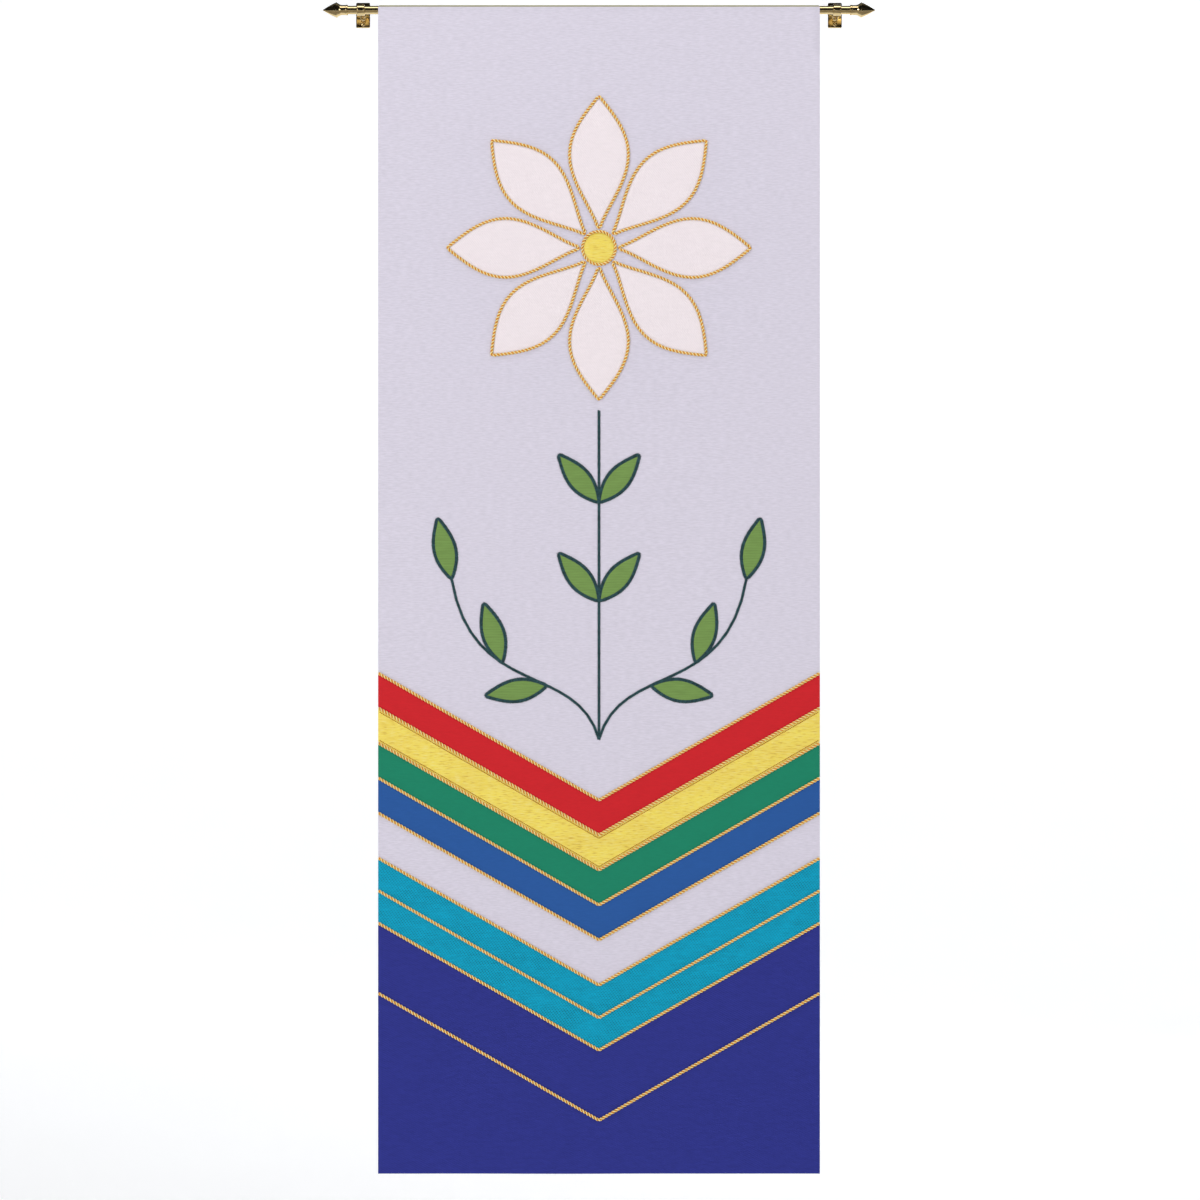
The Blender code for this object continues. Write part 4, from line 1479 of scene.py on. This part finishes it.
def post_profile():
    """From the plate to inside the ring's wall."""
    foot = POST_FOOT_DIAMETER / 2
    neck = POST_DIAMETER / 2
    reach = -ROD_Y - PLATE_THICKNESS - SEAT - (RING_DIAMETER / 2 - 0.0010)
    profile = rounded([(0, 0), (foot, 0), (foot, POST_FOOT_LENGTH / 2), (foot - 0.0006, POST_FOOT_LENGTH / 2)], 0.0002)
    for turn in np.linspace(0.25, math.pi / 2, 9):
        radius = foot - (foot - neck) * math.sin(turn)
        profile.append((radius, POST_FOOT_LENGTH * (1.5 - math.cos(turn))))
    return profile + [(neck, reach), (0, reach)]


def slotted(mesh, matrix):
    """Cuts a screwdriver slot into the top of a screw's head; the matrix stands the slot's box there."""
    head = bpy.data.objects.new("head", mesh)
    shape = bmesh.new()
    bmesh.ops.create_cube(shape, size=1.0, matrix=matrix)
    box_mesh = bpy.data.meshes.new("slot")
    shape.to_mesh(box_mesh)
    shape.free()
    box = bpy.data.objects.new("slot", box_mesh)
    for obj in (head, box):
        bpy.context.scene.collection.objects.link(obj)
    cut = head.modifiers.new("slot", "BOOLEAN")
    cut.operation = "DIFFERENCE"
    cut.solver = "EXACT"
    cut.object = box
    bpy.context.view_layer.update()
    graph = bpy.context.evaluated_depsgraph_get()
    result = bpy.data.meshes.new_from_object(head.evaluated_get(graph))
    for obj in (head, box):
        bpy.data.objects.remove(obj)
    for old in (mesh, box_mesh):
        bpy.data.meshes.remove(old)
    return smooth(result, 30)


def wall_screw_profile():
    shank = SCREW_SHANK_DIAMETER / 2
    head = SCREW_HEAD_DIAMETER / 2
    under = PLATE_THICKNESS + SEAT
    profile = [(0, SEAT), (shank, SEAT), (shank, under), (head - 0.0002, under), (head, under + 0.0002)]
    for turn in np.linspace(0.2, math.pi / 2, 9)[:-1]:
        profile.append((head * math.cos(turn), under + SCREW_HEAD_HEIGHT * math.sin(turn)))
    return profile + [(0, under + SCREW_HEAD_HEIGHT)]


def set_screw_profile():
    neck = SET_SCREW_NECK_DIAMETER / 2
    head = SET_SCREW_HEAD_DIAMETER / 2
    profile = [(0, 0), (neck, 0), (neck, -SET_SCREW_NECK_LENGTH)]
    middle = -SET_SCREW_NECK_LENGTH - SET_SCREW_HEAD_LENGTH / 2
    for turn in np.linspace(0, math.pi, 18)[1:-1]:
        profile.append((head * math.sin(turn) ** 0.6, middle + SET_SCREW_HEAD_LENGTH / 2 * math.cos(turn)))
    return profile + [(0, -SET_SCREW_NECK_LENGTH - SET_SCREW_HEAD_LENGTH)]


class BANNER_OT_brackets(bpy.types.Operator):
    """The two wall brackets: polished plates, rings on posts, wall screws and set screws"""

    bl_idname = "banner.brackets"
    bl_label = "Wall brackets"

    def execute(self, context):
        steps = sizes().brass_steps
        facing = Matrix.Rotation(math.radians(90), 4, "X")
        for label, side in (("left", -1), ("right", 1)):
            x = side * BRACKET_X
            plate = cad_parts[f"bracket_plate_{label}"]
            plate.data.materials.clear()
            plate.data.materials.append(finish_of("polished_brass"))
            post_place = Matrix.Translation((x, -PLATE_THICKNESS - SEAT, 0)) @ facing
            arm = joined(
                f"ring_and_post_{label}",
                [
                    ring_mesh("ring", steps, along_x(x, 1)),
                    turned("post", post_profile(), steps, post_place, 40),
                ],
                "polished_brass",
            )
            ready(arm, f"bracket_arm_{label}", slot="polished_brass")
            top = Matrix.Translation((x, -SET_SCREW_FROM_WALL, -POST_DIAMETER / 2 - SEAT))
            screw = turned("set screw", set_screw_profile(), 40, top)
            foot = -POST_DIAMETER / 2 - SEAT - SET_SCREW_NECK_LENGTH - SET_SCREW_HEAD_LENGTH
            box = Matrix.Translation((x, -SET_SCREW_FROM_WALL, foot)) @ Matrix.Rotation(0.5 * side, 4, "Z")
            screw = slotted(screw, box @ Matrix.Diagonal((SLOT_WIDTH, 0.02, 2 * SLOT_DEPTH, 1)))
            ready(
                object_from(f"thumb_screw_{label}", screw, "polished_brass"),
                f"set_screw_{label}",
                slot="polished_brass",
            )
            for row, height, turn in (("upper", SCREW_OFFSET, 0.4), ("lower", -SCREW_OFFSET, -0.7)):
                place = Matrix.Translation((x, 0, height)) @ facing
                screw = turned("wall screw", wall_screw_profile(), 40, place)
                front = PLATE_THICKNESS + SEAT + SCREW_HEAD_HEIGHT
                box = Matrix.Translation((x, -front, height)) @ Matrix.Rotation(turn * side, 4, "Y")
                screw = slotted(screw, box @ Matrix.Diagonal((SLOT_WIDTH, 2 * SLOT_DEPTH, 0.02, 1)))
                ready(
                    object_from(f"{row}_wall_screw_{label}", screw, "polished_brass"),
                    f"{row}_screw_{label}",
                    slot="polished_brass",
                )
        return {"FINISHED"}


def area_light(name, place, aim, size, power):
    light = bpy.data.lights.new(name, "AREA")
    light.shape = "RECTANGLE"
    light.size, light.size_y = size
    light.energy = power
    obj = bpy.data.objects.new(name, light)
    obj.location = place
    obj.rotation_mode = "QUATERNION"
    obj.rotation_quaternion = (Vector(aim) - Vector(place)).to_track_quat("-Z", "Y")
    bpy.context.scene.collection.objects.link(obj)
    return obj


def stage_mesh(name, material, points, faces):
    mesh = bpy.data.meshes.new(name)
    mesh.from_pydata(points, [], faces)
    mesh.materials.append(material)
    mesh.shade_smooth()
    obj = bpy.data.objects.new(name, mesh)
    bpy.context.scene.collection.objects.link(obj)
    return obj


class BANNER_OT_stage(bpy.types.Operator):
    """The pale floor that curves up all round, the soft lights and the camera"""

    bl_idname = "banner.stage"
    bl_label = "Floor, lights and camera"

    def execute(self, context):
        scene = context.scene
        # White paper backdrop with a painted glow: it gives off light though it is no lamp, more of it behind the
        # banner
        paper, tree, shader = start_material("pale paper backdrop", 0.95)
        shader.inputs["Emission Color"].default_value = (0.97, 0.98, 1.0, 1)
        place = add_node(tree, "ShaderNodeTexCoord").outputs["Object"]
        depth = add_node(tree, "ShaderNodeSeparateXYZ", {"Vector": place}).outputs["Y"]
        painted_glow = add_node(
            tree,
            "ShaderNodeMapRange",
            {"Value": depth, "From Min": -1.0, "From Max": 5.5, "To Min": 0.15, "To Max": 0.44},
        ).outputs[0]
        tree.links.new(painted_glow, shader.inputs["Emission Strength"])
        paper.cycles.emission_sampling = "NONE"
        grain = streaks(tree, place, (0.4, 0.4, 0.4))
        tree.links.new(
            tint(tree, grain, (0.87, 0.87, 0.87, 1), (0.9, 0.9, 0.9, 1)), shader.inputs["Base Color"]
        )
        steps, reach, curve = 96, 8.0, 2.5
        profile = [(1.5, 0), (3.5, 0), (reach - curve, 0)]
        for turn in np.linspace(0, math.pi / 2, 13)[1:]:
            profile.append((reach - curve + curve * math.sin(turn), curve * (1 - math.cos(turn))))
        profile.append((reach, 8.0))
        points = [(0, 0, FLOOR_Z)]
        for radius, height in profile:
            for step in range(steps):
                turn = math.tau * step / steps
                points.append((radius * math.cos(turn), radius * math.sin(turn), FLOOR_Z + height))
        faces = [(0, 1 + step, 1 + (step + 1) % steps) for step in range(steps)]
        for ring in range(len(profile) - 1):
            low = 1 + ring * steps
            for step in range(steps):
                after = (step + 1) % steps
                faces.append((low + step, low + steps + step, low + steps + after, low + after))
        stage_mesh("backdrop", paper, points, faces)

        black, _, shader = start_material("black reflection card", 0.9)
        shader.inputs["Base Color"].default_value = (0.01, 0.01, 0.012, 1)
        brown, _, shader = start_material("brown reflection card", 0.9)
        shader.inputs["Base Color"].default_value = (0.36, 0.33, 0.30, 1)
        # Dark cards give the brass its black bands: one curves round the front, one leans in behind
        bend = [math.radians(angle) for angle in range(-110, 111, 10)]
        last = len(bend)
        strip = [(i, i + 1, last + i + 1, last + i) for i in range(last - 1)]

        def arcs(*rims):
            return [(r * math.sin(a), -r * math.cos(a), height) for r, height in rims for a in bend]

        behind = [(-5.0, 5.5, 0.6), (5.0, 5.5, 0.6), (5.0, 3.2, 4.6), (-5.0, 3.2, 4.6)]
        for name, material, corners, faces in (
            ("front_card", black, arcs((6.0, -1.4), (4.2, 5.6)), strip),
            ("floor_card", brown, arcs((0.9, FLOOR_Z + 0.01), (6.0, FLOOR_Z + 0.4)), strip),
            ("rear_card", black, behind, [(0, 1, 2, 3)]),
        ):
            card = stage_mesh(name, material, corners, faces)
            card.visible_camera = False
            card.visible_diffuse = False
            card.visible_transmission = False
            card.visible_shadow = False

        world = bpy.data.worlds.new("pale room")
        world.use_nodes = True
        background = world.node_tree.nodes["Background"]
        background.inputs["Color"].default_value = (0.95, 0.97, 1.0, 1)
        background.inputs["Strength"].default_value = 0.15
        scene.world = world
        middle = (0, 0, -0.8)
        area_light("key softbox", (-3.0, -4.0, 0.2), middle, (1.6, 1.6), 62)
        area_light("fill softbox", (3.4, -4.2, 0.0), middle, (1.6, 2.0), 28)
        area_light("top strip", (0, -1.35, 2.5), (0, 0, 0), (3.0, 1.3), 28)
        area_light("back softbox", (1.6, 4.2, 0.8), middle, (2.2, 2.2), 40)

        camera_data = bpy.data.cameras.new("camera")
        camera_data.sensor_width = SENSOR
        x, z = VIEW_CENTRE
        camera_data.lens = SENSOR * (ROD_Y - 0.009 - VIEW_Y) / VIEW_WIDTH
        camera = bpy.data.objects.new("camera", camera_data)
        camera.location = (x, VIEW_Y, z)
        camera.rotation_euler = (math.radians(90), 0, 0)
        scene.collection.objects.link(camera)
        scene.camera = camera
        scene.view_settings.view_transform = "Standard"
        return {"FINISHED"}


OPERATORS = (
    BANNER_OT_ground_cloth,
    BANNER_OT_rod_sleeve,
    BANNER_OT_rosette,
    BANNER_OT_leaves,
    BANNER_OT_bands,
    BANNER_OT_band_cords,
    BANNER_OT_back_stitches,
    BANNER_OT_rod_and_finials,
    BANNER_OT_brackets,
    BANNER_OT_stage,
)


class BANNER_PT_sidebar(bpy.types.Panel):
    bl_label = "Banner"
    bl_idname = "BANNER_PT_sidebar"
    bl_space_type = "VIEW_3D"
    bl_region_type = "UI"
    bl_category = "Banner"

    def draw(self, context):
        layout = self.layout
        for group in (context.scene.banner_sizes, context.scene.banner_colours):
            box = layout.box()
            for name in group.bl_rna.properties.keys():
                if name not in ("rna_type", "name"):
                    box.prop(group, name)
        for operator in OPERATORS:
            layout.operator(operator.bl_idname)


CLASSES = (BannerSizes, BannerColours, *OPERATORS, BANNER_PT_sidebar)


def register():
    for item in CLASSES:
        bpy.utils.register_class(item)
    bpy.types.Scene.banner_sizes = PointerProperty(type=BannerSizes)
    bpy.types.Scene.banner_colours = PointerProperty(type=BannerColours)


def unregister():
    del bpy.types.Scene.banner_colours
    del bpy.types.Scene.banner_sizes
    for item in reversed(CLASSES):
        bpy.utils.unregister_class(item)


def main():
    register()
    for operator in OPERATORS:
        getattr(bpy.ops.banner, operator.bl_idname.split(".")[1])()


if __name__ == "__main__":
    main()
